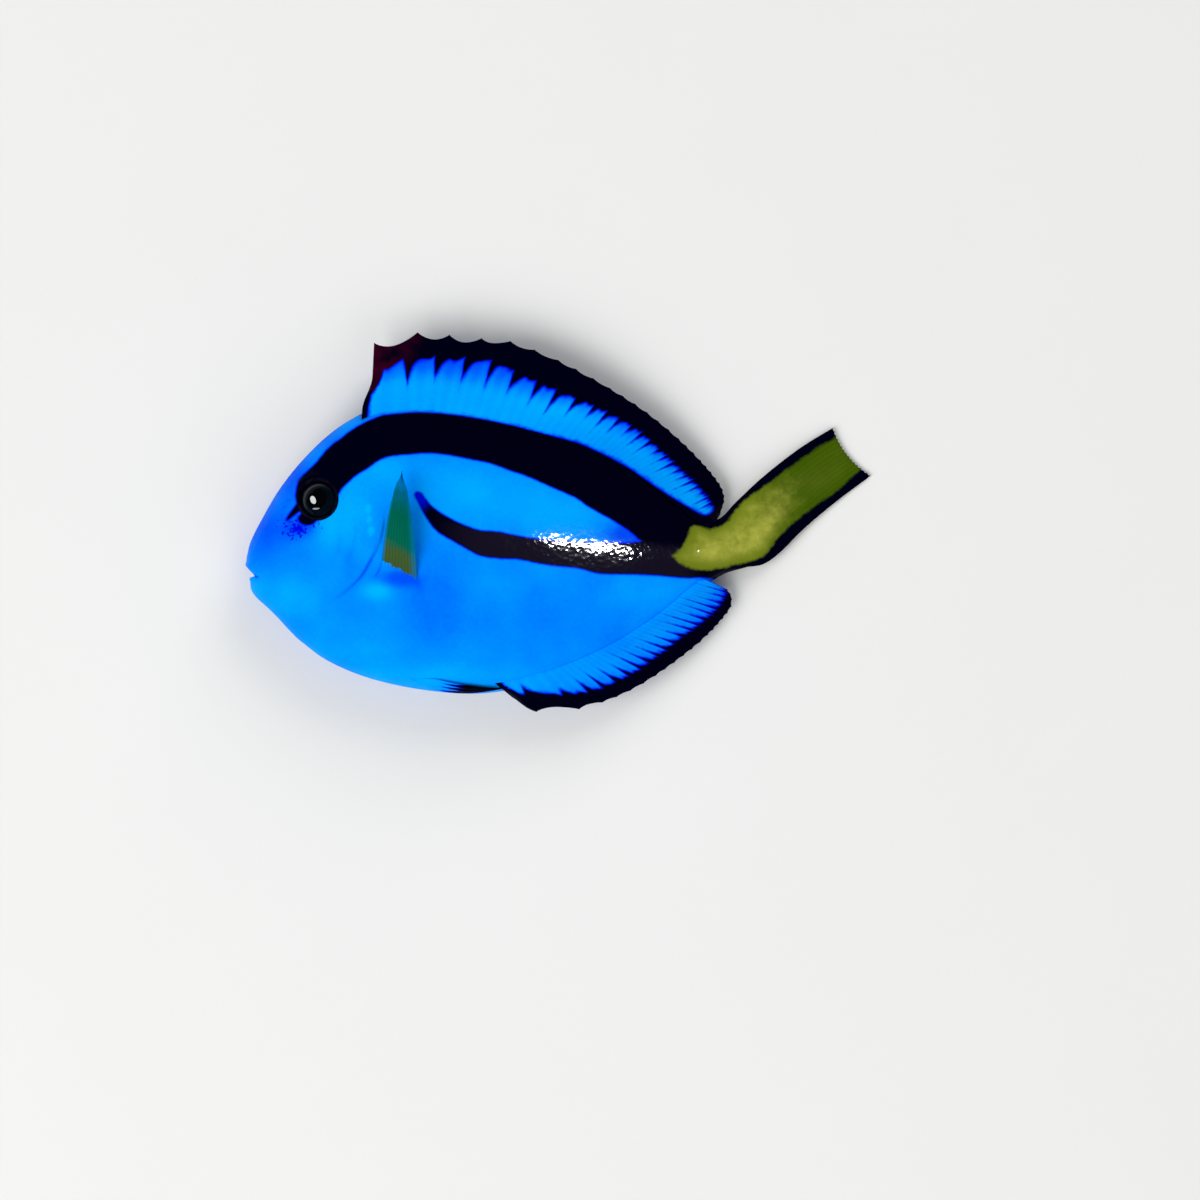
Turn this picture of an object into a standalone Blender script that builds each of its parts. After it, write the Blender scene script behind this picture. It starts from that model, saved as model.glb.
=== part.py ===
"""Regal blue tang (Paracanthurus hepatus), a juvenile, as a life-size still model.

The fish lies on its right side: head towards -X, back towards +Y, left flank up (+Z).
All sizes below are millimetres in the part's own frame, whose origin is the middle of the
model's outline on the surface that it lies on. Meshes are made in metres.
"""

import math

import bmesh
import bpy
import numpy as np
from mathutils import Matrix, Vector

MM = 0.001

# Clearance between neighbouring pieces.
GAP = 0.3

# The body is a row of sections from snout to tail fin. Each has a point on the back line, a
# point on the belly line, the distance that its middle bows towards the tail, and a half width.
SECTIONS = (
    ("snout tip", (-31.3, -4.4), (-31.3, -4.4), 0.0, 0.0),
    ("lips", (-31.2, -3.4), (-30.9, -5.7), 0.0, 0.78),
    ("chin", (-30.8, -1.9), (-30.8, -6.7), 0.2, 1.3),
    ("nose", (-29.7, 0.3), (-30.3, -7.5), 0.6, 1.9),
    ("nostrils", (-28.0, 3.2), (-29.1, -8.6), 1.4, 2.5),
    ("front of eye", (-25.9, 5.9), (-28.0, -9.7), 2.7, 3.1),
    ("back of eye", (-23.4, 8.4), (-26.9, -10.9), 4.2, 3.65),
    ("gill cover", (-20.9, 10.2), (-25.6, -12.1), 5.6, 4.1),
    ("pectoral base", (-17.7, 11.6), (-22.9, -14.0), 5.8, 4.3),
    ("shoulder", (-13.9, 11.8), (-18.7, -15.7), 5.0, 4.35),
    ("breast", (-9.4, 11.5), (-13.1, -16.85), 3.4, 4.2),
    ("vent", (-4.4, 10.5), (-7.2, -17.1), 1.8, 3.85),
    ("front flank", (1.1, 8.9), (-0.9, -15.7), 0.8, 3.3),
    ("rear flank", (6.3, 6.6), (5.0, -13.3), 0.3, 2.65),
    ("flank end", (10.9, 3.5), (10.2, -10.1), 0.0, 1.95),
    ("stalk front", (14.1, 1.0), (14.0, -7.0), 0.0, 1.45),
    ("stalk waist", (15.9, 0.3), (16.3, -5.3), 0.3, 1.1),
    ("stalk end", (17.8, 2.1), (18.8, -4.5), 0.7, 0.62),
)
GILL_EDGE = 7.0
STALK_START = 14.7
STALK_END = float(len(SECTIONS) - 1)

# A section is a lens: half width * (1 - |t| ** LENS_POWER) ** LENS_EDGE, t from belly to back.
LENS_POWER = 2.2
LENS_EDGE = 0.59

# The middle plane lies level over the front of the body and sinks towards the tail's end.
MIDDLE_HEIGHT = 4.05
SINK_START = -2.0
SINK_END = 31.5
TAIL_END_HEIGHT = 0.27

# The gill cover stands proud of the flank behind it, between two places t, with soft ends. The
# step fades over the sections behind the cover.
GILL_STEP = 0.32
GILL_STEP_LIMITS = (-0.4, 0.0)
GILL_STEP_EDGE = 0.2
GILL_STEP_FADE = 3.3

# Where the body is thinner than this, its small forms fade out.
DETAIL_DEPTH = 0.8

# Bed of the right pectoral fin, pressed into the flank that lies down: its middle line, its
# radius at the fin's root and tip, the softness of its edge, and its roof above the floor.
BED_ROOT = (-15.4, -5.9)
BED_TIP = (-7.6, -6.2)
BED_RADIUS = (3.1, 1.9)
BED_EDGE = 1.4
BED_ROOF = 0.92

# Mouth: a slit from the front of the lips to its inner end, with a low ridge for each lip.
MOUTH_FRONT = (-31.6, -4.8)
MOUTH_INNER = (-30.1, -5.5)
MOUTH_OPENING = 0.62
LIP_RISE = 0.12
LIP_DISTANCE = 0.42
LIP_WIDTH = 0.2

EYE_CENTRE = (-24.05, 2.25)
EYE_RADIUS = 1.9
EYE_DEPTH = 1.3
EYE_BULGE = 0.55
RIM_RADIUS = 0.38
RIM_FLATNESS = 0.8
RIM_SUNK = 0.12

NOSTRILS = ((-27.0, 2.1), (-27.4, 1.45))
NOSTRIL_RADIUS = 0.15
NOSTRIL_DEPTH = 0.4

# Folded spine (scalpel) on each side of the tail stalk: its tip, its root, height, radius at
# its root, and the share of that radius at its tip.
SPINE_TIP = (14.2, -2.9)
SPINE_ROOT = (17.6, -2.0)
SPINE_RISE = 0.25
SPINE_RADIUS = 0.42
SPINE_TIP_SHARE = 0.45

# Fins: membrane half thickness, how far spines and soft rays rise from it, half the width of a
# ridge counted in rays, and the share of its height that a ridge loses from root to tip.
MEMBRANE = 0.26
SPINE_RIDGE = 0.2
RAY_RIDGE = 0.11
RIDGE_FOOT = 0.3
MEDIAN_LOSS = 0.35
CAUDAL_LOSS = 0.5
PELVIC_LOSS = 0.6

DORSAL_SPINES = 9
DORSAL_RAYS = 19
DORSAL_BASE = (7.55, 15.75)
DORSAL_MARGIN = (
    (-18.5, 17.95), (-14.1, 19.0), (-10.9, 18.75), (-7.6, 18.4), (-4.8, 18.1), (0.6, 15.9),
    (7.4, 12.0), (12.1, 8.3), (15.6, 4.6), (16.6, 2.6), (16.2, 0.9),
)
# Rays of a fin: number, share of the base's length at its root, of the margin's at its tip.
DORSAL_SHARES = (
    (0, 0.0, 0.0), (1, 0.102, 0.105), (2, 0.168, 0.18), (3, 0.226, 0.256), (4, 0.282, 0.324),
    (6, 0.402, 0.445), (9, 0.54, 0.583), (12, 0.64, 0.687), (15, 0.717, 0.783),
    (18, 0.79, 0.856), (21, 0.862, 0.911), (24, 0.927, 0.957), (27, 1.0, 1.0),
)
# Depth of the margin's dip in each gap between spines, then between the soft rays.
DORSAL_DIPS = (0.85, 0.7, 0.63, 0.5, 0.3, 0.22, 0.18, 0.16, 0.12)
# Backward hook of the spines' tips: its depth, its last spine, the spines over which it fades,
# and where on a spine it starts.
DORSAL_HOOK = 1.0
DORSAL_HOOK_LAST = 8.5
DORSAL_HOOK_FADE = 3.0
DORSAL_HOOK_START = 0.66
# Forward lean of the fin's front edge at its foot, and the foot's height.
DORSAL_FOOT = 0.85
DORSAL_FOOT_HEIGHT = 3.4

ANAL_SPINES = 3
ANAL_RAYS = 19
ANAL_BASE = (11.15, 15.35)
ANAL_MARGIN = (
    (-4.6, -17.6), (-2.25, -19.0), (2.0, -18.75), (7.7, -16.6), (13.6, -12.5), (16.9, -9.1),
    (17.35, -7.6), (16.9, -6.75),
)
ANAL_SHARES = (
    (0, 0.0, 0.0), (1, 0.1, 0.1), (2, 0.215, 0.256), (3, 0.285, 0.343), (5, 0.385, 0.453),
    (7, 0.475, 0.56), (10, 0.6, 0.683), (13, 0.725, 0.8), (16, 0.845, 0.88),
    (19, 0.93, 0.96), (21, 1.0, 1.0),
)
ANAL_DIPS = (0.1, 0.7, 0.3, 0.12)
FIN_DROOP = 0.5

CAUDAL_RAYS = 16
CAUDAL_UPPER = ((20.5, 4.6), (24.1, 7.4), (27.5, 9.5))
CAUDAL_LOWER = ((20.5, -4.2), (22.2, -3.0), (24.5, -0.7), (27.7, 2.0), (31.3, 4.7))
CAUDAL_ROOT_HALF = 0.5
CAUDAL_NOTCH = 0.55

PECTORAL_RAYS = 12
PECTORAL_LEFT_BASE = ((-17.7, -4.35), (-14.05, -6.25))
PECTORAL_LEFT_TIP = ((-15.75, 5.15), (-15.4, 5.0))
PECTORAL_LIFT = 2.1
PECTORAL_RIGHT_BASE = ((-16.9, -4.1), (-16.4, -7.6))
PECTORAL_RIGHT_TIP = ((-6.9, -5.9), (-6.8, -6.7))
PECTORAL_RIGHT_HEIGHT = 0.31
PECTORAL_ROOT_HALF = 0.42
PECTORAL_BELLY = 0.55
PECTORAL_RIDGES = 0.8
FOLDED_RIDGES = 0.4

# A pelvic fin lies on the belly's edge: section range from root to tip, and its inner and
# outer edge as places t on those sections.
PELVIC_RAYS = 4
PELVIC_SECTIONS = (9.6, 11.3)
PELVIC_INNER = (-0.9, -0.945)
PELVIC_OUTER = (-0.985, -0.972)
# How much narrower a pelvic fin is at its root and tip, and the shares of its length there.
PELVIC_TAPER = 0.55
PELVIC_WIDENS = 0.3
PELVIC_NARROWS = 0.4

# Mesh: faces round the body, sections of the head's fine and coarse parts, faces of the eye,
# rows of points from a fin's root to its edge, the angle in degrees past which an edge is sharp,
# and half the cut between two body pieces, counted in sections.
AROUND = 32
FINE_END = 3.0
FINE_STEP = 0.2
COARSE_ROWS = 14
TRUNK_ROWS = 26
STALK_ROWS = 13
EYE_FACES = (18, 10)
RIM_FACES = (20, 6)
MEDIAN_ROWS = 6
CAUDAL_ROWS = 8
PECTORAL_ROWS = 5
PELVIC_ROWS = 6
SHARP_ANGLE = 40
CUT = 0.05


def clear_scene():
    """Start from an empty scene."""
    for item in list(bpy.data.objects):
        bpy.data.objects.remove(item, do_unlink=True)


def make_material(name, colour, roughness):
    """A Principled surface in one colour."""
    material = bpy.data.materials.new(name)
    material.use_nodes = True
    shader = material.node_tree.nodes["Principled BSDF"]
    shader.inputs["Base Color"].default_value = (*colour, 1.0)
    shader.inputs["Roughness"].default_value = roughness
    shader.inputs["Metallic"].default_value = 0.0
    return material


def through(values, u):
    """Smooth curve through the values, one at each whole number of u (Catmull-Rom)."""
    values = np.asarray(values, float)
    u = np.clip(np.asarray(u, float), 0.0, len(values) - 1.0)
    left = np.minimum(u.astype(int), len(values) - 2)
    f = (u - left).reshape(u.shape + (1,) * (values.ndim - 1))
    slope = np.gradient(values, axis=0)
    return (values[left] * (1 + 2 * f) * (1 - f) ** 2 + slope[left] * f * (1 - f) ** 2
            + values[left + 1] * f ** 2 * (3 - 2 * f) - slope[left + 1] * f ** 2 * (1 - f))


def along(points, fraction, samples=400):
    """Point at each fraction of the length of the smooth curve through the points."""
    curve = through(points, np.linspace(0, len(points) - 1, samples))
    steps = np.linalg.norm(np.diff(curve, axis=0), axis=1)
    length = np.concatenate(([0.0], np.cumsum(steps)))
    wanted = np.asarray(fraction) * length[-1]
    return np.stack([np.interp(wanted, length, curve[:, axis]) for axis in (0, 1)], axis=-1)


def ease(value):
    """Smooth step from 0 to 1."""
    value = np.clip(value, 0.0, 1.0)
    return value * value * (3 - 2 * value)


def window(value, limits, edge):
    """1 inside the limits, falling smoothly to 0 over the edge outside them."""
    low, high = limits
    return ease((value - low) / edge + 1) * ease((high - value) / edge + 1)


def segment_distance(x, y, start, end):
    """Distance from (x, y) to the segment, and how far along it the nearest point lies."""
    dx, dy = end[0] - start[0], end[1] - start[1]
    f = np.clip(((x - start[0]) * dx + (y - start[1]) * dy) / (dx * dx + dy * dy), 0, 1)
    return np.hypot(x - start[0] - f * dx, y - start[1] - f * dy), f


def middle_height(x):
    """Height of the fish's middle plane above the floor."""
    sunk = ease((x - SINK_START) / (SINK_END - SINK_START))
    return MIDDLE_HEIGHT + (TAIL_END_HEIGHT - MIDDLE_HEIGHT) * sunk


def side_point(u, t):
    """Point in side view on section u, from belly (t = -1) to back (t = 1)."""
    back = through([section[1] for section in SECTIONS], u)
    belly = through([section[2] for section in SECTIONS], u)
    bow = through([section[3] for section in SECTIONS], u)
    share = (1 + t) / 2
    x = belly[..., 0] + (back[..., 0] - belly[..., 0]) * share + bow * (1 - t * t)
    y = belly[..., 1] + (back[..., 1] - belly[..., 1]) * share
    return x, y


def half_width(u, t, x, y, side):
    """Half thickness of the body, with the gill step, lips, spine and fin bed."""
    width = through([section[4] for section in SECTIONS], u)
    half = width * (1 - np.abs(t) ** LENS_POWER) ** LENS_EDGE
    edge = ease(half / DETAIL_DEPTH)
    covered = window(t, GILL_STEP_LIMITS, GILL_STEP_EDGE)
    behind = np.where(u > GILL_EDGE, np.exp(-(u - GILL_EDGE) * GILL_STEP_FADE), 0.0)
    half = half - GILL_STEP * covered * behind * edge
    distance, _ = segment_distance(x, y, MOUTH_FRONT, MOUTH_INNER)
    half = half + LIP_RISE * np.exp(-((distance - LIP_DISTANCE) / LIP_WIDTH) ** 2) * edge
    distance, f = segment_distance(x, y, SPINE_TIP, SPINE_ROOT)
    radius = SPINE_RADIUS * (SPINE_TIP_SHARE + (1 - SPINE_TIP_SHARE) * f)
    half = half + SPINE_RISE * np.sqrt(np.clip(1 - (distance / radius) ** 2, 0, 1)) * edge
    if side < 0:
        distance, f = segment_distance(x, y, BED_ROOT, BED_TIP)
        radius = BED_RADIUS[0] * (1 - f) + BED_RADIUS[1] * f
        bed = ease((radius - distance) / BED_EDGE + 1)
        half = half - np.maximum(half - (MIDDLE_HEIGHT - BED_ROOF), 0) * bed
    return half


def skin_point(u, t, side):
    """Point of the skin on the left (side 1) or right (side -1) flank."""
    x, y = side_point(u, t)
    z = middle_height(x) + side * half_width(u, t, x, y, side)
    return np.stack([x, y, np.maximum(z, 0.0)], axis=-1)


def skin_normal(u, t, side):
    """Outward unit normal of the skin."""
    step = 0.01
    lengthwise = skin_point(u + step, t, side) - skin_point(u - step, t, side)
    upward = skin_point(u, t + step, side) - skin_point(u, t - step, side)
    normal = np.cross(lengthwise, upward) * side
    return normal / np.linalg.norm(normal, axis=-1, keepdims=True)


def skin_height(x, y):
    """Height of the left flank over a point in side view."""
    x, y = np.broadcast_arrays(np.asarray(x, float), np.asarray(y, float))
    u, t = np.full(x.shape, 7.0), np.zeros(x.shape)
    for _ in range(60):
        px, _ = side_point(u, t)
        u = np.clip(u + (x - px) / 4.5, 0.5, STALK_END)
        _, low = side_point(u, -1.0)
        _, high = side_point(u, 1.0)
        t = np.clip(2 * (y - low) / (high - low) - 1, -0.995, 0.995)
    return skin_point(u, t, 1)[..., 2]


def skin_frame(x, y, side):
    """Matrix at a place on the skin, with its Z along the outward normal."""
    step = 0.4
    slope_x = float(skin_height(x + step, y) - skin_height(x - step, y)) / (2 * step)
    slope_y = float(skin_height(x, y + step) - skin_height(x, y - step)) / (2 * step)
    height = float(skin_height(x, y))
    if side < 0:
        height = 2 * float(middle_height(x)) - height
    normal = Vector((-slope_x, -slope_y, 1.0)).normalized()
    normal.z *= side
    turn = normal.to_track_quat("Z", "Y").to_matrix().to_4x4()
    return Matrix.Translation(Vector((x, y, height)) * MM) @ turn


def add_node(name, points, faces, seat, material):
    """One closed piece from points in millimetres; its object sits at the given seat."""
    mesh = bpy.data.meshes.new(name)
    local = (np.asarray(points) - np.asarray(seat)) * MM
    mesh.from_pydata(local.tolist(), [], faces)
    work = bmesh.new()
    work.from_mesh(mesh)
    bmesh.ops.recalc_face_normals(work, faces=work.faces)
    work.to_mesh(mesh)
    work.free()
    mesh.materials.append(material)
    mesh.shade_smooth()
    mesh.set_sharp_from_angle(angle=math.radians(SHARP_ANGLE))
    node = bpy.data.objects.new(name, mesh)
    node.location = [value * MM for value in seat]
    bpy.context.collection.objects.link(node)
    return node


def add_tool(name, work, matrix=Matrix.Identity(4)):
    """A helper shape from a bmesh, placed by a matrix, for one Boolean."""
    work.transform(matrix)
    mesh = bpy.data.meshes.new(name)
    work.to_mesh(mesh)
    work.free()
    tool = bpy.data.objects.new(name, mesh)
    bpy.context.collection.objects.link(tool)
    return tool


def combine(node, tool, operation):
    """Cut the tool from the node or join it to the node, and remove the tool."""
    modifier = node.modifiers.new(operation.lower(), "BOOLEAN")
    modifier.operation = operation
    modifier.object = tool
    modifier.solver = "EXACT"
    bpy.context.view_layer.update()
    evaluated = node.evaluated_get(bpy.context.evaluated_depsgraph_get())
    mesh = bpy.data.meshes.new_from_object(evaluated)
    node.modifiers.clear()
    node.data = mesh
    bpy.data.objects.remove(tool, do_unlink=True)


def body_piece(name, stations, around, material):
    """Closed length of the body: a skin lofted over the stations, with a ruled cap at each end.

    The first station is closed by a single point where the body begins at the snout.
    """
    half = around // 2
    angles = np.pi * np.arange(half + 1) / half
    t = np.cos(angles)
    loops = []
    for u in stations:
        left = skin_point(np.full(t.shape, u), t, 1)
        right = skin_point(np.full(t.shape, u), t, -1)[half - 1:0:-1]
        loops.append(np.concatenate((left, right)))
    points = list(np.concatenate(loops))
    faces = []
    for row in range(len(stations) - 1):
        for column in range(around):
            a = row * around + column
            b = row * around + (column + 1) % around
            faces.append((a, b, b + around, a + around))
    ends = [(len(stations) - 1) * around]
    if stations[0] > 0.5:
        ends.append(0)
    else:
        points.append(skin_point(np.array(0.0), np.array(0.0), 1))
        tip = len(points) - 1
        faces += [(tip, column, (column + 1) % around) for column in range(around)]
    for start in ends:
        faces.append((start, start + 1, start + around - 1))
        for row in range(1, half - 1):
            faces.append((start + row, start + row + 1,
                          start + around - row - 1, start + around - row))
        faces.append((start + half - 1, start + half, start + half + 1))
    seat = np.mean(points, axis=0)
    return add_node(name, points, faces, seat, material)


def plate(name, middle, offset, seat, material):
    """Closed thin plate: two faces at middle +- offset, split into triangles alike."""
    columns, rows = middle.shape[:2]
    upper = (middle + offset).reshape(-1, 3)
    lower = (middle - offset).reshape(-1, 3)
    sunk = np.minimum(lower[:, 2], 0.0)
    upper[:, 2] -= sunk
    lower[:, 2] -= sunk
    count = columns * rows
    faces = []
    for i in range(columns - 1):
        for j in range(rows - 1):
            a, b = i * rows + j, (i + 1) * rows + j
            faces += [(a, b, b + 1), (a, b + 1, a + 1)]
            faces += [(a + count, b + 1 + count, b + count),
                      (a + count, a + 1 + count, b + 1 + count)]
    rim = [i * rows for i in range(columns)]
    rim += [(columns - 1) * rows + j for j in range(1, rows)]
    rim += [i * rows + rows - 1 for i in range(columns - 2, -1, -1)]
    rim += [j for j in range(rows - 2, 0, -1)]
    for a, b in zip(rim, rim[1:] + rim[:1]):
        faces += [(a, a + count, b + count), (a, b + count, b)]
    return add_node(name, np.concatenate((upper, lower)), faces, seat, material)


def ray_columns(spines, rays):
    """Column places of a fin, counted in rays, with the ridge height of each column.

    Between two spines the membrane has a column of its own, for the dip in its edge.
    """
    total = spines + rays
    places, ridges = [], []
    for index in range(total):
        rise = SPINE_RIDGE if index < spines else RAY_RIDGE
        columns = [(-RIDGE_FOOT, 0.0), (0.0, rise), (RIDGE_FOOT, 0.0)]
        if index < spines:
            columns.append((0.5, 0.0))
        for step, height in columns:
            if 0 <= index + step <= total - 1:
                places.append(index + step)
                ridges.append(height)
    return np.array(places), np.array(ridges)


def median_fin(name, counts, base, margin, shares, dips, material):
    """Fin on the middle plane: rays run from the body's outline to the fin's margin.

    On the back, the front spines bend back towards their tips, and the fin's front edge leans
    forward at its foot.
    """
    on_back = margin[0][1] > 0
    places, ridges = ray_columns(*counts)
    outline = np.array([section[1 if on_back else 2] for section in SECTIONS])
    root_path = through(outline, np.linspace(base[0], base[1], 60))
    run = np.gradient(root_path, axis=0)
    run /= np.linalg.norm(run, axis=1, keepdims=True)
    outward = np.stack([-run[:, 1], run[:, 0]], axis=1) * (1 if on_back else -1)
    numbers, root_shares, tip_shares = np.array(shares).T
    root = along(root_path + outward * GAP, np.interp(places, numbers, root_shares))
    tip = along(margin, np.interp(places, numbers, tip_shares))
    reach = tip - root
    length = np.linalg.norm(reach, axis=1, keepdims=True)
    between = np.sin(np.pi * (places - np.floor(places))) ** 0.8
    dip = between * np.array(dips)[np.minimum(places.astype(int), len(dips) - 1)]
    tip = tip - reach / length * dip[:, None]
    v = np.linspace(0, 1, MEDIAN_ROWS)
    flat = root[:, None] * (1 - v)[None, :, None] + tip[:, None] * v[None, :, None]
    if on_back:
        hooked = ease(places) * ease((DORSAL_HOOK_LAST - places) / DORSAL_HOOK_FADE)
        bend = v * (1 - ease((v - DORSAL_HOOK_START) / (1 - DORSAL_HOOK_START)))
        flat[..., 0] -= DORSAL_HOOK * hooked[:, None] * bend[None]
        lean = ease(1 - places)[:, None] * ease(1 - v[None] * length / DORSAL_FOOT_HEIGHT)
        flat[..., 0] -= DORSAL_FOOT * lean
    height = middle_height(flat[..., 0]) - FIN_DROOP * v ** 2
    middle = np.concatenate((flat, height[..., None]), axis=2)
    half = MEMBRANE + ridges[:, None] * (1 - MEDIAN_LOSS * v)[None, :]
    offset = np.zeros_like(middle)
    offset[..., 2] = half
    return plate(name, middle, offset, middle[0, 0], material)


def caudal_fin(material):
    """Closed tail fin, swept towards the back, its end lying on the floor."""
    places, ridges = ray_columns(0, CAUDAL_RAYS)
    share = places / (CAUDAL_RAYS - 1)
    t = 1 - 2 * share
    x, y = side_point(np.full(t.shape, STALK_END), t)
    top, bottom = np.array([x[0], y[0]]), np.array([x[-1], y[-1]])
    chord = (top - bottom) / np.linalg.norm(top - bottom)
    rearward = np.array([chord[1], -chord[0]])
    root = np.stack([x, y], axis=1) + rearward * GAP
    upper = np.concatenate(([root[0]], CAUDAL_UPPER))
    lower = np.concatenate(([root[-1]], CAUDAL_LOWER))
    v = np.linspace(0, 1, CAUDAL_ROWS)
    above, below = along(upper, v), along(lower, v)
    flat = above[None] * (1 - share)[:, None, None] + below[None] * share[:, None, None]
    straight_root = root[0] * (1 - share)[:, None] + root[-1] * share[:, None]
    flat += (root - straight_root)[:, None] * (1 - v)[None, :, None] ** 2
    end = below[-1] - above[-1]
    inward = np.array([end[1], -end[0]]) / np.linalg.norm(end)
    flat += inward * (CAUDAL_NOTCH * 4 * share * (1 - share))[:, None, None] * (v ** 4)[:, None]
    height = np.broadcast_to(middle_height(flat[..., 0]), flat.shape[:2])
    middle = np.concatenate((flat, height[..., None]), axis=2)
    half = MEMBRANE + (CAUDAL_ROOT_HALF - MEMBRANE) * (1 - v) ** 2
    offset = np.zeros_like(middle)
    offset[..., 2] = half[None] + ridges[:, None] * (1 - CAUDAL_LOSS * v)[None]
    return plate("caudal_fin", middle, offset, middle[0, 0], material)


def pectoral_plan(base, tip):
    """Blade of a pectoral fin in side view, fanned from its base to its tip."""
    places, ridges = ray_columns(0, PECTORAL_RAYS)
    share = places / (PECTORAL_RAYS - 1)
    base, tip = np.array(base), np.array(tip)
    v = np.linspace(0, 1, PECTORAL_ROWS)
    root = base[0] * (1 - share)[:, None] + base[1] * share[:, None]
    end = tip[0] * (1 - share)[:, None] + tip[1] * share[:, None]
    flat = root[:, None] * (1 - v)[None, :, None] + end[:, None] * v[None, :, None]
    across = (base[1] - base[0]) / np.linalg.norm(base[1] - base[0])
    swell = PECTORAL_BELLY * (share - 0.5)[:, None] * np.sin(np.pi * v)[None]
    flat += across * swell[..., None]
    half = MEMBRANE + (PECTORAL_ROOT_HALF - MEMBRANE) * (1 - v) ** 2
    return flat, v, np.broadcast_to(half, (len(places), len(v))), ridges


def pectoral_left(material):
    """Left pectoral fin, raised towards the back and standing a little off the flank."""
    flat, v, half, ridges = pectoral_plan(PECTORAL_LEFT_BASE, PECTORAL_LEFT_TIP)
    skin = skin_height(flat[..., 0], flat[..., 1])
    half = half + ridges[:, None] * PECTORAL_RIDGES
    height = skin + GAP + PECTORAL_ROOT_HALF + RAY_RIDGE + PECTORAL_LIFT * v ** 1.2
    middle = np.concatenate((flat, height[..., None]), axis=2)
    offset = np.zeros_like(middle)
    offset[..., 2] = half
    return plate("pectoral_fin_left", middle, offset, middle[0, 0], material)


def pectoral_right(material):
    """Right pectoral fin, folded back between the flank and the floor."""
    flat, v, _, ridges = pectoral_plan(PECTORAL_RIGHT_BASE, PECTORAL_RIGHT_TIP)
    height = np.full(flat.shape[:2], PECTORAL_RIGHT_HEIGHT)
    middle = np.concatenate((flat, height[..., None]), axis=2)
    offset = np.zeros_like(middle)
    offset[..., 2] = MEMBRANE + ridges[:, None] * FOLDED_RIDGES
    return plate("pectoral_fin_right", middle, offset, middle[0, 0], material)


def pelvic_fin(name, side, material):
    """Pelvic fin folded back along the belly, on the left (side 1) or the right (side -1)."""
    places, ridges = ray_columns(1, PELVIC_RAYS - 1)
    share = (places / (PELVIC_RAYS - 1))[:, None]
    v = np.linspace(0, 1, PELVIC_ROWS)
    u = np.broadcast_to(PELVIC_SECTIONS[0] * (1 - v) + PELVIC_SECTIONS[1] * v,
                        (len(places), len(v)))
    inner = PELVIC_INNER[0] * (1 - v) + PELVIC_INNER[1] * v
    outer = PELVIC_OUTER[0] * (1 - v) + PELVIC_OUTER[1] * v
    ends = 1 - ease(v / PELVIC_WIDENS) + ease((v - 1) / PELVIC_NARROWS + 1)
    narrow = 1 - PELVIC_TAPER * ends
    t = (inner + outer) / 2 + (outer - inner) * (share - 0.5) * narrow
    rise = ridges[:, None] * (1 - PELVIC_LOSS * v)[None]
    outward = skin_normal(u, t, side)
    middle = skin_point(u, t, side) + outward * (GAP + MEMBRANE + SPINE_RIDGE)
    offset = outward * (MEMBRANE + rise)[..., None]
    return plate(name, middle, offset, middle[0, 0], material)


def eye_shape(frame, grow, segments, rings):
    """Flattened ball of the eye, grown for its socket, seated along the skin's normal."""
    work = bmesh.new()
    bmesh.ops.create_uvsphere(work, u_segments=segments, v_segments=rings, radius=1.0)
    across = (EYE_RADIUS + grow) * MM
    deep = (EYE_DEPTH + grow) * MM
    seat = Matrix.Translation((0, 0, (EYE_BULGE - EYE_DEPTH) * MM))
    return work, frame @ seat @ Matrix.Diagonal((across, across, deep, 1.0))


def eye_rim(side, segments, sides):
    """Low ring of skin round the eye: a torus whose middle line lies on the flank."""
    turn = 2 * np.pi * np.arange(segments)[:, None] / segments
    roll = 2 * np.pi * np.arange(sides)[None] / sides
    centre_line = EYE_RADIUS + GAP
    height = skin_height(EYE_CENTRE[0] + centre_line * np.cos(turn),
                         EYE_CENTRE[1] + centre_line * np.sin(turn))
    reach = centre_line + RIM_RADIUS * np.cos(roll)
    x = EYE_CENTRE[0] + reach * np.cos(turn)
    y = EYE_CENTRE[1] + reach * np.sin(turn)
    rise = height - RIM_SUNK + RIM_RADIUS * RIM_FLATNESS * np.sin(roll) - MIDDLE_HEIGHT
    z = MIDDLE_HEIGHT + side * rise
    work = bmesh.new()
    grid = [[work.verts.new(Vector(point) * MM) for point in ring]
            for ring in np.stack([x, y, z], axis=-1)]
    for i in range(segments):
        for j in range(sides):
            after, beyond = grid[(i + 1) % segments], (j + 1) % sides
            work.faces.new((grid[i][j], after[j], after[beyond], grid[i][beyond]))
    bmesh.ops.recalc_face_normals(work, faces=work.faces)
    return work


def add_eye(name, frame, material):
    """The eye itself, a separate glossy ball."""
    work, matrix = eye_shape(frame, 0.0, *EYE_FACES)
    work.transform(matrix)
    points = [tuple(value / MM for value in vertex.co) for vertex in work.verts]
    faces = [[vertex.index for vertex in face.verts] for face in work.faces]
    work.free()
    seat = [value / MM for value in frame.to_translation()]
    return add_node(name, points, faces, seat, material)


def mouth_tool():
    """Wedge that opens the mouth: as tall as the gape in front, closing at its inner end."""
    work = bmesh.new()
    middle, reach = MIDDLE_HEIGHT, 2.2
    front = np.array(MOUTH_FRONT)
    corners = (front + (0, MOUTH_OPENING / 2), np.array(MOUTH_INNER),
               front - (0, MOUTH_OPENING / 2))
    rings = []
    for height in (middle - reach, middle + reach):
        rings.append([work.verts.new(Vector((*corner, height)) * MM) for corner in corners])
    work.faces.new(rings[0])
    work.faces.new(rings[1][::-1])
    for i in range(3):
        j = (i + 1) % 3
        work.faces.new((rings[0][i], rings[1][i], rings[1][j], rings[0][j]))
    bmesh.ops.recalc_face_normals(work, faces=work.faces)
    return work


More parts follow.
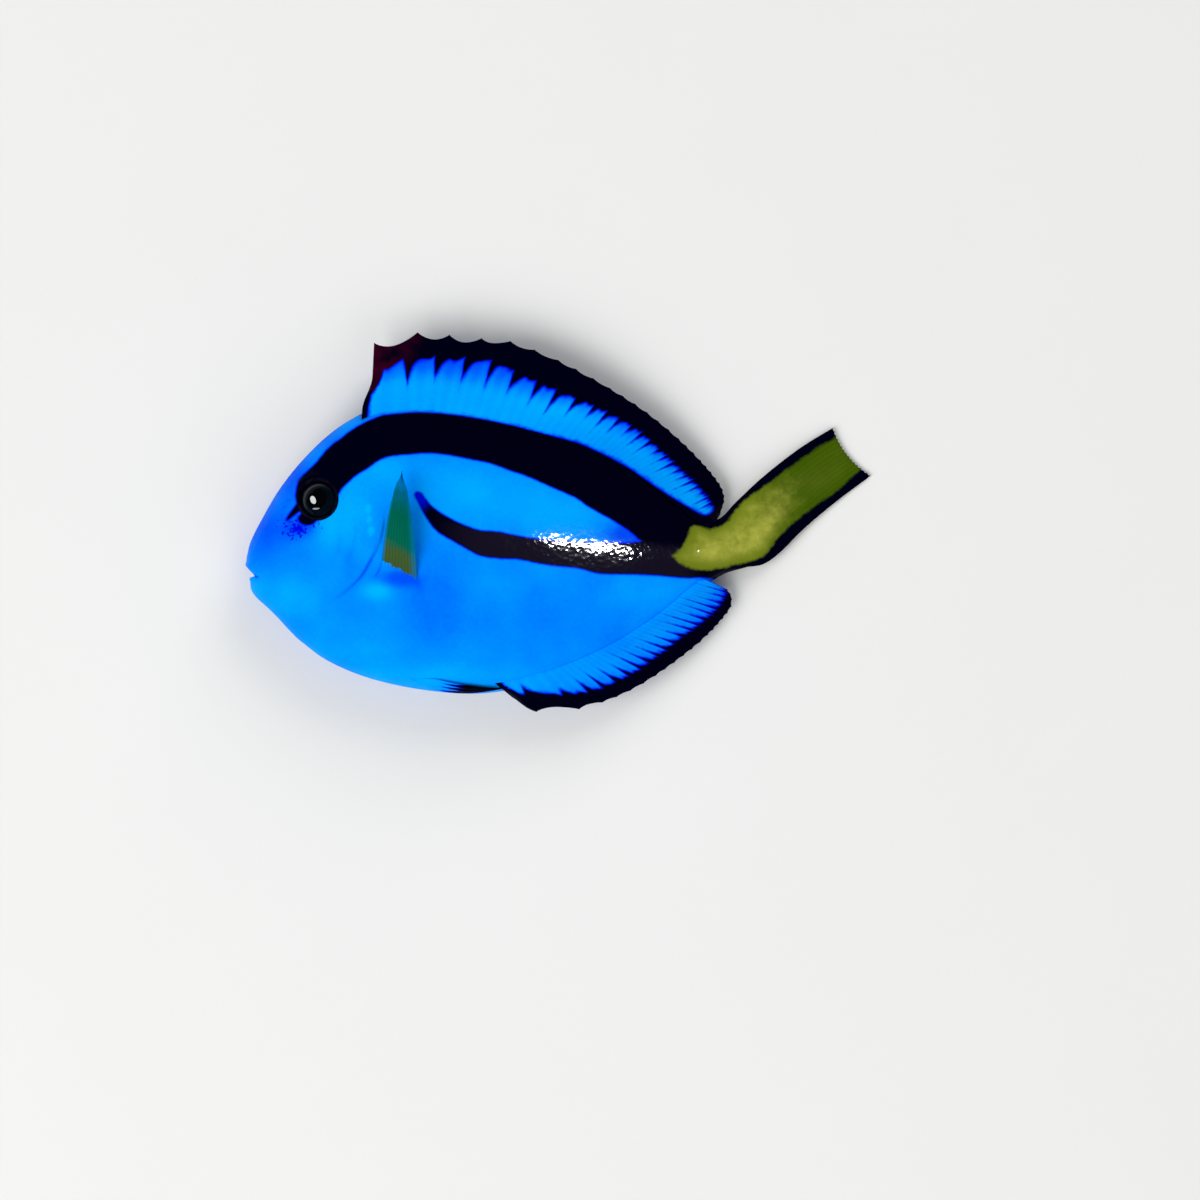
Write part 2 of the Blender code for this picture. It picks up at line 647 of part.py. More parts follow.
def nostril_tool():
    """Short round pin that sinks a nostril."""
    work = bmesh.new()
    bmesh.ops.create_cone(work, cap_ends=True, segments=8, radius1=NOSTRIL_RADIUS * MM,
                          radius2=NOSTRIL_RADIUS * MM, depth=2 * NOSTRIL_DEPTH * MM)
    return work


def add_head(material, eye_material):
    """Head with its gill covers, mouth, nostrils and eye sockets, and the two eyes."""
    fine = np.arange(FINE_STEP, FINE_END, FINE_STEP)
    coarse = np.linspace(FINE_END, GILL_EDGE - CUT, COARSE_ROWS)
    head = body_piece("head", np.concatenate((fine, coarse)), AROUND, material)
    for side, label in ((1, "left"), (-1, "right")):
        frame = skin_frame(*EYE_CENTRE, side)
        combine(head, add_tool("rim", eye_rim(side, *RIM_FACES)), "UNION")
        combine(head, add_tool("socket", *eye_shape(frame, GAP, *EYE_FACES)), "DIFFERENCE")
        add_eye("eye_" + label, frame, eye_material)
        for place in NOSTRILS:
            tool = add_tool("nostril", nostril_tool(), skin_frame(*place, side))
            combine(head, tool, "DIFFERENCE")
    combine(head, add_tool("mouth", mouth_tool()), "DIFFERENCE")
    return head


def main():
    """Model the fish, node by node, under one empty."""
    clear_scene()
    blue = make_material("blue_skin", (0.0, 0.26, 0.95), 0.3)
    edged = make_material("black_edged_blue_fin", (0.0, 0.03, 0.2), 0.35)
    yellow = make_material("yellow_tail", (0.45, 0.4, 0.05), 0.4)
    green = make_material("green_pectoral", (0.02, 0.16, 0.07), 0.4)
    dark = make_material("dark_eye", (0.003, 0.004, 0.006), 0.05)
    add_head(blue, dark)
    trunk = np.linspace(GILL_EDGE + CUT, STALK_START - CUT, TRUNK_ROWS)
    body_piece("trunk", trunk, AROUND, blue)
    stalk = np.linspace(STALK_START + CUT, STALK_END, STALK_ROWS)
    body_piece("tail_stalk", stalk, AROUND, yellow)
    caudal_fin(yellow)
    median_fin("dorsal_fin", (DORSAL_SPINES, DORSAL_RAYS), DORSAL_BASE, DORSAL_MARGIN,
               DORSAL_SHARES, DORSAL_DIPS, edged)
    median_fin("anal_fin", (ANAL_SPINES, ANAL_RAYS), ANAL_BASE, ANAL_MARGIN, ANAL_SHARES,
               ANAL_DIPS, edged)
    pectoral_left(green)
    pectoral_right(green)
    pelvic_fin("pelvic_fin_left", 1, edged)
    pelvic_fin("pelvic_fin_right", -1, edged)
    fish = bpy.data.objects.new("regal_blue_tang", None)
    bpy.context.collection.objects.link(fish)
    for node in bpy.data.objects:
        if node.type == "MESH":
            node.parent = fish


main()
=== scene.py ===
"""Looks of the regal blue tang (Paracanthurus hepatus), a juvenile lying on its right side.

The fish lies with its head towards -X, its back towards +Y and its left flank up (+Z). Shapes
are worked out in millimetres as numpy surfaces and become meshes in metres. Patterns are
distances to outlines drawn in side view, kept on the meshes as named attributes.
"""

import math

import bpy
import numpy as np
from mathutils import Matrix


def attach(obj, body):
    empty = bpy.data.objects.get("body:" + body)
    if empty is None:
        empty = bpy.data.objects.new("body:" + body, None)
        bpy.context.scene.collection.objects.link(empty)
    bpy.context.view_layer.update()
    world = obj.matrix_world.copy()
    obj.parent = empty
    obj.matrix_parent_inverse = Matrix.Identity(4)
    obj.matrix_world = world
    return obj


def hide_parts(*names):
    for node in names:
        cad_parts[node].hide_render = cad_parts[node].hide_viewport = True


bl_info = {
    "name": "Regal blue tang",
    "version": (1, 0, 0),
    "blender": (4, 5, 0),
    "location": "3D View > Sidebar > Blue Tang",
    "description": "Skin, fins and eyes of a life-size juvenile regal blue tang",
    "category": "Add Mesh",
}

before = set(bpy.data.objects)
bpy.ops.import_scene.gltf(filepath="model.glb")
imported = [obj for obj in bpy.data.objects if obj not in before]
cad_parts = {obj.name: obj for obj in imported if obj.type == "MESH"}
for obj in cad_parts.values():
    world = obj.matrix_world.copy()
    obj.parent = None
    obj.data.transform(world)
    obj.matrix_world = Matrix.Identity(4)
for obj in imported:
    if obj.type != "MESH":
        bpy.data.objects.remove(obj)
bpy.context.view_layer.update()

MM = 0.001
SIDES = ((1, "left"), (-1, "right"))

# The body is a row of sections from snout to tail fin. Each has a point on the back line, a
# point on the belly line, the distance that its middle bows towards the tail, and a half width.
SECTIONS = (
    ("snout tip", (-31.3, -4.4), (-31.3, -4.4), 0.0, 0.0),
    ("lips", (-31.2, -3.4), (-30.9, -5.7), 0.0, 0.78),
    ("chin", (-30.8, -1.9), (-30.8, -6.7), 0.2, 1.3),
    ("nose", (-29.7, 0.3), (-30.3, -7.5), 0.6, 1.9),
    ("nostrils", (-28.0, 3.2), (-29.1, -8.6), 1.4, 2.5),
    ("front of eye", (-25.9, 5.9), (-28.0, -9.7), 2.7, 3.1),
    ("back of eye", (-23.4, 8.4), (-26.9, -10.9), 4.2, 3.65),
    ("gill cover", (-20.9, 10.2), (-25.6, -12.1), 5.6, 4.1),
    ("pectoral base", (-17.7, 11.6), (-22.9, -14.0), 5.8, 4.3),
    ("shoulder", (-13.9, 11.8), (-18.7, -15.7), 5.0, 4.35),
    ("breast", (-9.4, 11.5), (-13.1, -16.85), 3.4, 4.2),
    ("vent", (-4.4, 10.5), (-7.2, -17.1), 1.8, 3.85),
    ("front flank", (1.1, 8.9), (-0.9, -15.7), 0.8, 3.3),
    ("rear flank", (6.3, 6.6), (5.0, -13.3), 0.3, 2.65),
    ("flank end", (10.9, 3.5), (10.2, -10.1), 0.0, 1.95),
    ("stalk front", (14.1, 1.0), (14.0, -7.0), 0.0, 1.45),
    ("stalk waist", (15.9, 0.3), (16.3, -5.3), 0.3, 1.1),
    ("stalk end", (17.8, 2.1), (18.8, -4.5), 0.7, 0.62),
)
BACK_LINE, BELLY_LINE, BOWS, HALF_WIDTHS = (
    np.array([section[column] for section in SECTIONS]) for column in (1, 2, 3, 4))
STALK_END = float(len(SECTIONS) - 1)
# Search for the section and place t of a point in side view: steps, section where it starts,
# millimetres counted as one section, least section and greatest place.
SEARCH_STEPS = 60
SEARCH_START = 7.0
SEARCH_RUN = 4.5
SEARCH_FIRST = 0.5
SEARCH_EDGE = 0.995

# A section is a lens: half width * (1 - |t| ** LENS_POWER) ** LENS_EDGE, t from belly to back.
LENS_POWER = 2.2
LENS_EDGE = 0.59
# Thickness under which the flank's own forms fade out.
THIN = 0.8
# The stalk is thinner under the tail fin: share, start and run counted in sections.
STALK_THINNING = 0.15
STALK_THIN_START = 16.5
STALK_THIN_RUN = 0.4

# The middle plane lies level over the front of the body and sinks towards the tail's end.
MIDDLE_HEIGHT = 4.05
SINK_START = -2.0
SINK_END = 31.5
TAIL_END_HEIGHT = 0.27

# Bed of the right pectoral fin, pressed into the flank that lies down.
BED_ROOT = (-15.4, -5.9)
BED_TIP = (-7.6, -6.2)
BED_RADIUS = (3.1, 1.9)
BED_EDGE = 1.4
BED_ROOF = 0.92

# Grid of the skin: first and last section and number of rows of each stretch, and steps of the
# places t from back to belly.
SKIN_STATIONS = (
    (0.04, 3.9, 96), (3.94, 6.97, 108), (7.0, 9.0, 64), (9.08, 15.4, 92), (15.45, STALK_END, 44))
SKIN_PLACES = 112

# Step behind the gill cover's edge: the section where it lies, its height, its reach over the
# places t with their softness, and how fast it dies out behind.
GILL_EDGE = 7.0
GILL_STEP = 0.32
GILL_REACH = (-0.4, 0.0)
GILL_SOFTNESS = 0.2
GILL_DECAY = 3.3

# Eyes: centre in side view, radius of the seat and of the raised line round it, thickness of
# the dark ring, gap from the eye to its middle line, what is added to the radius on the eye's
# hidden back to keep the iris off it, and grids of eye and ring.
EYE_CENTRE = (-24.05, 2.25)
EYE_SEAT = 2.08
EYE_LID = 2.35
LID_THICKNESS = 0.13
RING_GAP = 0.06
BEHIND_EYE = 9.0
EYE_ROWS = 66
EYE_COLUMNS = 96
RING_COLUMNS = 144
RING_ROWS = 20

# Mouth's line from front to rear, and front of the skin there: x at each height y, notched
# between the lips.
MOUTH_FRONT = (-31.6, -4.8)
MOUTH_INNER = (-30.1, -5.5)
MOUTH_Y = (-6.5, -5.85, -5.55, -5.42, -4.95, -4.3)
MOUTH_X = (-31.4, -31.0, -30.85, -30.35, -30.8, -31.4)

# Nostrils: place and size of each, the profile that is turned round its axis, and the heights
# at which its cup and its foot are closed.
NOSTRILS = ((-27.0, 2.1, 1.0), (-27.4, 1.45, 0.8))
NOSTRIL_OUT = np.array([0.3, 0.26, 0.2, 0.15, 0.12, 0.09, 0.04])
NOSTRIL_UP = np.array([-0.12, 0.02, 0.07, 0.05, -0.02, -0.08, -0.1])
NOSTRIL_CUP = -0.1
NOSTRIL_FOOT = -0.3
NOSTRIL_COLUMNS = 32

# Folded spine of the tail stalk: its tip and root in side view, height and width.
SPINE_TIP = (14.2, -2.9)
SPINE_ROOT = (17.6, -2.0)
SPINE_RISE = 0.12
SPINE_WIDTH = 0.34

# Small forms of the skin. Lips: distance from the mouth's line, and width. Furrows of mouth,
# gill edge and the groove before the eye: depth and width. Raised line round the eye: height and
# width. Seat of the eye: depth, and width of its wall. Mouth, gill edge and the line behind the
# pectoral fin: strength of the painted shade there and its width; behind the pectoral fin it is
# the painted shadow of the fin's fleshy base. Share by which lips, mouth's furrow and groove fade
# inward.
LIPS = (0.5, 0.28)
MOUTH_FURROW = (0.3, 0.16)
GILL_FURROW = (0.13, 0.16)
GROOVE_FURROW = (0.16, 0.2)
LID_RISE = (0.1, 0.3)
SEAT_SINK = (0.8, 0.35)
MOUTH_SHADE = (0.8, 0.11)
GILL_SHADE = (0.7, 0.13)
PECTORAL_SHADOW = (0.4, 0.3)
INWARD_FADING = 0.6

# Lines pressed into the skin, in side view: the free edge of the gill cover, and folds with
# their furrow's depth and width and the strength of the painted shade in them and its width. The
# first fold lies behind the gill cover, the others on the cheek.
GILL_LINE = (
    (-17.85, -1.3), (-18.3, -2.9), (-18.9, -4.1), (-19.6, -5.3), (-20.4, -6.2), (-21.5, -7.1),
    (-22.5, -7.7), (-23.5, -8.2),
)
FOLDS = (
    (((-17.5, -3.6), (-17.9, -4.8), (-18.5, -5.7)), (0.1, 0.14), (0.55, 0.12)),
    (((-20.2, 0.6), (-20.3, -1.6), (-20.9, -3.6), (-21.8, -5.2)), (0.03, 0.22), (0.12, 0.2)),
    (((-21.8, -0.8), (-21.9, -2.6), (-22.4, -4.4)), (0.03, 0.22), (0.12, 0.2)),
)
# Dark groove before the eye: its line, half width, and share by which it narrows forwards.
EYE_GROOVE = ((-25.9, 1.5), (-26.6, 0.8), (-27.1, 0.25))
GROOVE_HALF_WIDTH = 0.34
GROOVE_NARROWING = 0.75
# Line of painted shadow behind the base of the pectoral fin, and the low mound that the fin
# stands on.
PECTORAL_SHADOW_LINE = ((-14.15, -5.9), (-13.4, -7.9))
PECTORAL_MOUND = (-16.3, -5.7, 1.5, 1.0)
MOUND_HEIGHT = 0.22

# Outline of everything dark on the skin: the band from the eye over the back, the stripe
# along the flank, and the tail's root, drawn past the fish's own outline where it reaches it.
BAND_OUTLINE = (
    (-26.25, 2.6), (-26.1, 3.5), (-25.9, 4.2), (-25.1, 5.0), (-24.1, 6.0), (-23.4, 6.9),
    (-22.6, 7.7), (-21.9, 8.2), (-20.7, 9.1), (-19.9, 9.6), (-18.9, 10.1), (-17.9, 10.5),
    (-16.9, 10.7), (-13.6, 10.9), (-9.3, 10.5), (-4.7, 9.6), (-1.8, 8.85), (1.3, 8.1),
    (3.8, 7.1), (7.0, 5.4), (10.2, 3.2), (12.8, 1.6), (14.6, 0.7), (15.6, 1.4), (17.0, 3.5),
    (20.5, 6.0), (23.0, 3.0), (22.0, -7.0), (18.5, -7.2), (15.8, -5.8), (14.3, -5.5),
    (12.8, -5.55), (11.0, -5.4), (8.1, -5.2), (4.1, -5.1), (2.1, -4.6), (-1.4, -4.2),
    (-3.9, -3.7), (-5.9, -3.6), (-7.9, -3.3), (-9.9, -2.2), (-11.2, -1.5), (-12.2, -0.8),
    (-12.9, 0.1), (-13.4, 0.9), (-13.9, 1.9), (-14.35, 2.75), (-13.85, 2.85), (-13.3, 2.2),
    (-12.7, 1.5), (-11.9, 0.9), (-10.9, 0.3), (-9.9, -0.2), (-8.9, -0.6), (-7.9, -0.9),
    (-5.9, -1.1), (-3.9, -1.5), (-1.9, -1.8), (0.1, -2.0), (2.1, -2.15), (4.1, -2.2),
    (6.1, -2.2), (7.6, -2.1), (8.35, -1.95), (8.1, -1.75), (7.1, -0.9), (5.6, 0.1), (3.1, 1.5),
    (1.6, 2.5), (-0.9, 3.6), (-2.9, 4.5), (-4.9, 5.2), (-6.9, 5.9), (-8.9, 6.3), (-10.9, 6.7),
    (-12.9, 6.9), (-15.9, 6.7), (-17.2, 6.5), (-18.1, 6.1), (-18.9, 5.5), (-19.9, 4.9),
    (-20.7, 4.3), (-21.7, 3.3), (-22.3, 2.2), (-22.9, 0.9), (-24.2, 0.2), (-25.3, 0.5),
    (-26.0, 1.4),
)
# Front tip of the stripe, and the distance from it within which the dark turns blue.
BAND_FRONT_TIP = (-14.1, 2.4)
TIP_RADIUS = 1.25
# The stripe is browner than the band. The brown lies below a line: its height at a place x, how
# much it falls per millimetre towards the tail, and its softness. It also has a front and a rear
# limit, each with a softness.
BROWN_TOP = 0.6
BROWN_X = -10.0
BROWN_FALL = 0.12
BROWN_SOFTNESS = 1.2
BROWN_FRONT = (-13.5, 6.0)
BROWN_REAR = (15.0, 3.0)

# Outline of the yellow of the tail stalk and the tail fin, from its point in the dark skin.
YELLOW_OUTLINE = (
    (11.3, -3.4), (11.7, -3.1), (12.3, -2.5), (12.8, -1.6), (13.2, -0.6), (13.8, -0.35),
    (14.6, -0.5), (15.5, -0.6), (16.7, -0.05), (17.55, 1.0), (18.5, 2.1), (19.7, 2.95),
    (21.1, 3.95), (24.7, 6.65), (28.6, 9.1), (31.0, 11.0), (36.0, 8.0), (33.0, 7.3),
    (30.9, 6.0), (28.0, 3.3), (25.8, 1.75), (23.8, 0.2), (22.3, -1.15), (21.4, -2.25),
    (20.9, -3.0), (19.8, -3.75), (18.1, -4.15), (16.5, -4.55), (14.6, -4.8), (13.1, -4.6),
    (12.0, -4.05),
)

# Lightness of the blue, and patches where it is lighter or deeper: centre, reach along and
# across, amount. The patch at (-18.1, -6.9) is a painted highlight on the pectoral fin's fleshy
# base, and the last three small ones are painted glints on the gill cover.
TONE_MIDDLE = 0.52
TONE_PATCHES = (
    (-28.9, -0.6, 2.6, 3.6, -0.4), (-26.4, 4.4, 2.0, 2.4, -0.34), (-23.2, 8.2, 2.6, 1.2, -0.22),
    (-20.9, 0.9, 2.4, 3.4, 0.25), (-23.1, -0.6, 1.1, 1.5, 0.24), (-20.9, -4.2, 0.7, 1.7, -0.12),
    (-27.2, -7.6, 3.0, 2.0, 0.2), (-30.4, -6.4, 1.0, 1.2, 0.15), (-18.1, -6.9, 1.3, 0.8, 0.5),
    (-17.4, 5.2, 2.6, 1.4, 0.28), (-12.6, -8.0, 3.2, 4.6, -0.24), (-9.5, 3.0, 6.5, 3.0, 0.33),
    (0.5, 1.0, 4.5, 2.2, 0.3), (7.3, -1.3, 2.2, 1.1, -0.75), (-12.0, -15.4, 8.0, 1.3, 0.28),
    (-15.0, 3.5, 1.0, 3.5, -0.14), (0.0, -9.5, 6.5, 3.6, -0.1), (8.5, -7.2, 4.5, 1.8, 0.16),
    (-3.0, 11.0, 14.0, 1.5, 0.18), (-20.5, -13.0, 5.0, 1.3, 0.12), (-8.0, -6.2, 7.0, 2.0, 0.05),
    (-16.0, -5.7, 1.9, 0.8, -0.6), (-19.0, 1.3, 0.22, 0.3, 0.9), (-18.9, 0.2, 0.2, 0.25, 0.8),
    (-18.7, -0.9, 0.25, 0.35, 0.9),
)
# Small dark dots under the eye, and the solid dark fleck where they meet its edge.
FRECKLE_PATCH = (-25.9, -0.6, 1.6, 0.95)
FLECK_PATCH = (-25.1, 0.3, 0.85, 0.6)

# Dorsal and anal fins. Depth in the body at which they start, steps of their grids from one
# spine or ray to the next and from root to margin, and height of the dorsal fin's foot.
ROOT_DEPTH = 0.9
SPINE_STEPS = 24
RAY_STEPS = 14
FIN_ROWS = 52
FOOT_HEIGHT = 3.4

# Backward hook of the front spines: the place where it has faded out and over how many spines,
# and where along a spine it is greatest.
HOOK_LAST = 8.5
HOOK_FADE = 3.0
HOOK_PEAK = 0.66

# Thickness: share that a fin's membrane and its ridges lose towards the margin, half thickness
# added in the body and its reach, where ridges start and over what length, and the width and
# least share of the thin rim.
MARGIN_THINNING = 0.55
ROOT_SWELL = (1.1, 2.1)
RIDGE_START = 1.4
RIDGE_RUN = 2.4
RIM_WIDTH = 0.18
RIM_SHARE = 0.25

# Dark spikes: width behind a ray and power of the curve, the same for the first ray, and the
# rise before a ray and its power. Waves along the fin: amount, rate and phase, for the spikes'
# width and reach and for the depth of the border.
SPIKE_WIDTH, SPIKE_POWER = 0.44, 1.8
FIRST_WIDTH, FIRST_POWER = 0.31, 2.4
SPIKE_RISE, SPIKE_RISE_POWER = 0.12, 1.5
WIDTH_WAVE = (0.16, 2.6, 0.7)
REACH_WAVE = (0.2, 1.9, 0.4)
BORDER_WAVE = (0.07, 4.6 * np.pi, 0.4 * np.pi)

# Both fins: power of the dips between rays, crowding of the grid's rows towards the margin, sway
# from ray to ray and its power, droop of the margin, growth of the soft rays' forks, and width
# of a ridge.
DIP_POWER = 0.8
ROW_CROWDING = 1.25
SWAY, SWAY_POWER = 0.04, 1.5
DROOP = 0.5
RAY_FORK = (0.16, 0.35, 0.65)
RIDGE_WIDTH = 0.1
# Their colours: least width of a panel for the border's slope. Dark front edge: its width, what
# the foot adds, and where and over what length the foot ends. Growth of the deeper blue towards
# the dark. Wine red: the place where it ends and over how many spines, its limits from root to
# margin and their softness. Gleam beside each ray: its place, amount and width.
LEAST_PANEL = 0.3
FRONT_EDGE = (0.22, 0.4, 3.1, 1.5)
NEAR_INK = (0.22, -0.5, 0.5)
WINE_END, WINE_RUN = 1.5, 1.1
WINE_LIMITS, WINE_SOFTNESS = (0.4, 0.97), 0.1
GLEAM_PLACE, GLEAM = 0.25, (0.1, 0.12)

# For each fin: the outline that it stands on, the side to which it grows, the sections between
# which it stands, and its margin. For some of its spines and rays, their number, share of the
# base's length at the root and of the margin's at the tip. The margin's dip in each gap between
# spines, then between soft rays. At even steps from front to rear, depth of the dark border and
# reach of the dark spikes. The hook of its spines' tips, the forward lean of its foot, how much
# of its front is wine red, the place of the lighter strip along its base, its amount and width,
# and the growth of the deeper blue towards the margin.
MEDIAN_FINS = {
    "dorsal_fin": {
        "line": BACK_LINE, "side": 1, "spines": 9, "rays": 19, "base": (7.55, 15.75),
        "margin": (
            (-18.5, 17.95), (-14.1, 19.0), (-10.9, 18.75), (-7.6, 18.4), (-4.8, 18.1),
            (0.6, 15.9), (7.4, 12.0), (12.1, 8.3), (15.6, 4.6), (16.6, 2.6), (16.2, 0.9)),
        "shares": (
            (0, 0.0, 0.0), (1, 0.102, 0.105), (2, 0.168, 0.18), (3, 0.226, 0.256),
            (4, 0.282, 0.324), (6, 0.402, 0.445), (9, 0.54, 0.583), (12, 0.64, 0.687),
            (15, 0.717, 0.783), (18, 0.79, 0.856), (21, 0.862, 0.911), (24, 0.927, 0.957),
            (27, 1.0, 1.0)),
        "dips": (0.85, 0.7, 0.63, 0.5, 0.3, 0.22, 0.18, 0.16, 0.12),
        "border": (2.4, 1.9, 2.6, 2.4, 2.0, 2.15, 2.15, 1.9, 1.5, 0.4),
        "spike": (5.3, 4.2, 4.6, 3.6, 3.1, 3.0, 3.0, 2.6, 2.0, 0.8),
        "hook": 1.0, "foot": 0.85, "wine": 1.0, "strip": 2.2, "strip_sizes": (0.24, 1.8),
        "deeper": (0.55, 0.33, 0.45),
    },
    "anal_fin": {
        "line": BELLY_LINE, "side": -1, "spines": 3, "rays": 19, "base": (11.15, 15.35),
        "margin": (
            (-4.6, -17.6), (-2.25, -19.0), (2.0, -18.75), (7.7, -16.6), (13.6, -12.5),
            (16.9, -9.1), (17.35, -7.6), (16.9, -6.75)),
        "shares": (
            (0, 0.0, 0.0), (1, 0.1, 0.1), (2, 0.215, 0.256), (3, 0.285, 0.343),
            (5, 0.385, 0.453), (7, 0.475, 0.56), (10, 0.6, 0.683), (13, 0.725, 0.8),
            (16, 0.845, 0.88), (19, 0.93, 0.96), (21, 1.0, 1.0)),
        "dips": (0.1, 0.7, 0.3, 0.12),
        "border": (1.9, 1.6, 1.6, 1.75, 1.8, 1.35, 1.0, 0.15),
        "spike": (2.5, 3.0, 3.2, 3.2, 3.1, 2.8, 2.2, 0.7),
        "hook": 0.0, "foot": 0.0, "wine": 0.0, "strip": 1.9, "strip_sizes": (0.05, 1.0),
        "deeper": (0.22, 0.33, 0.45),
    },
}

# Tail fin: the section in the stalk where it starts, its upper and lower edge, the depth of its
# notch, and steps of its grid from ray to ray, over the stalk and over the fin.
CAUDAL_RAYS = 16
CAUDAL_START = 16.25
CAUDAL_UPPER = ((20.5, 4.6), (24.1, 7.4), (27.5, 9.5))
CAUDAL_LOWER = ((20.5, -4.2), (22.2, -3.0), (24.5, -0.7), (27.7, 2.0), (31.3, 4.7))
CAUDAL_NOTCH = 0.55
CAUDAL_STEPS = 12
STALK_ROWS = 16
CAUDAL_ROWS = 100
# Its rays: growth of their forks, of the forks' twigs and of their height, width of a ridge,
# height, and share that it loses towards the end. How far the stalk's flesh reaches into the fin.
CAUDAL_FORK = (0.17, 0.2, 0.5)
CAUDAL_TWIG = (0.08, 0.55, 0.45)
CAUDAL_GROWTH = (1.0, 0.05, 0.3)
CAUDAL_RAY_WIDTH = 0.075
CAUDAL_RAY_RISE = 0.04
CAUDAL_RAY_LOSS = 0.4
CAUDAL_FLESH = 0.42

# Pectoral fins: rays, steps of the grid from ray to ray and from root to tip. For each fin, upper
# and lower end of the base, then of the tip. Height of the right fin's middle, and how much each
# swells half way.
PECTORAL_RAYS = 12
PECTORAL_STEPS = 10
PECTORAL_ROWS = 80
PECTORAL_PLANS = (
    ("left", ((-17.7, -4.35), (-14.05, -6.25)), ((-15.75, 5.15), (-15.4, 5.0))),
    ("right", ((-16.9, -4.1), (-16.4, -7.6)), ((-6.9, -5.9), (-6.8, -6.7))),
)
PECTORAL_RIGHT_HEIGHT = 0.31
PECTORAL_BELLY = 0.55
# Growth of the forks of their rays and of the closing of their tips, height of their ridges,
# share that membrane and ridges lose towards the tip, and the root's swelling and its reach.
PECTORAL_FORK = (0.18, 0.35, 0.5)
PECTORAL_CLOSING = (0.9, 0.84, 0.16)
PECTORAL_RAY_RISE = 0.07
PECTORAL_LOSS = 0.5
PECTORAL_SWELL = (0.1, 0.12)
# How deep the left pectoral fin's root lies in the flank, and how far its blade stands off it.
PECTORAL_SUNK = 0.2
PECTORAL_CLEAR = 1.05

# Pelvic fins: from front to rear the section, and the places t of their inner and outer edge,
# then rays and steps of the grid.
PELVIC_SECTIONS = (9.6, 11.3)
PELVIC_INNER = (-0.9, -0.945)
PELVIC_OUTER = (-0.985, -0.972)
PELVIC_RAYS = 4
PELVIC_STEPS = 20
PELVIC_ROWS = 70

# Floor in metres: half its side, how far it is level, how steeply it rises beyond, and points
# along its side.
FLOOR_REACH = 3.0
FLOOR_LEVEL = 0.9
FLOOR_RISE = 0.16
FLOOR_POINTS = 97

# Even light: name of each lamp, place and side in metres, and power.
SOFTBOXES = (
    ("side_softbox", (-0.5, -0.3, 0.55), 0.7, 6.6),
    ("back_softbox", (0.35, 0.7, 0.45), 0.6, 4.4),
    ("belly_softbox", (0.35, -0.55, 0.4), 0.6, 1.6),
)
EYE_BALLS = ("eye_ball_left", "eye_ball_right")
# Highlights: name of each lamp, place, size along x and y, power, roll and the pieces it lights.
HIGHLIGHTS = (
    ("strip_lamp", (0.187, 0.012, 0.44), (0.168, 0.01), 5.5, -0.14, ("skin",)),
    ("eye_lamp", (-0.36, 0.11, 0.34), (0.19, 0.3), 4.2, 0.7, EYE_BALLS),
    ("low_eye_lamp", (-0.27, -0.19, 0.37), (0.28, 0.07), 0.7, 0.0, EYE_BALLS),
)
SURROUND_COLOUR = (0.9, 0.93, 1.0, 1.0)
SURROUND_STRENGTH = 0.28

# View: straight down from far off, this many millimetres wide at the fish's middle plane.
VIEW_CENTRE = (4.1, -7.8)
VIEW_WIDTH = 120.0
VIEW_DISTANCE = 1000.0
SENSOR_WIDTH = 36.0


def linear(red, green, blue):
    """Linear colour of an 8-bit sRGB one: ((c + 0.055) / 1.055) ** 2.4, or c / 12.92 if dark."""
    share = np.array([red, green, blue]) / 255
    bright = ((share + 0.055) / 1.055) ** 2.4
    return tuple(float(value) for value in np.where(share > 0.04045, bright, share / 12.92))


def size(name, description, millimetres):
    """A length property with its default in millimetres."""
    return bpy.props.FloatProperty(
        name=name, description=description, default=millimetres * MM, min=0.0, unit="LENGTH")


def colour(name, description, default):
    """A colour property with an sRGB default."""
    return bpy.props.FloatVectorProperty(
        name=name, description=description, default=linear(*default), subtype="COLOR",
        size=3, min=0.0, max=1.0)


class TangShape(bpy.types.PropertyGroup):
    """Sizes of the fish's details."""

    eye_radius: size("Eye radius", "Radius of the eye in side view", 1.93)
    eye_depth: size("Eye depth", "Half thickness of the eye's flattened ball", 1.3)
    eye_bulge: size("Eye bulge", "Height of the eye above the skin around it", 0.55)
    gill_step: size("Gill step", "Height of the gill cover's edge above the flank", GILL_STEP)
    lip_rise: size("Lip rise", "Height of the lips above the skin around them", 0.1)
    membrane: size("Membrane", "Half thickness of the fins' membrane", 0.11)
    spine_rise: size("Spine rise", "Height of a fin spine above the membrane", 0.09)
    ray_rise: size("Ray rise", "Height of a soft ray above the membrane", 0.045)
    pectoral_lift: size("Pectoral lift", "Rise of the left pectoral fin's tip off the flank", 2.1)


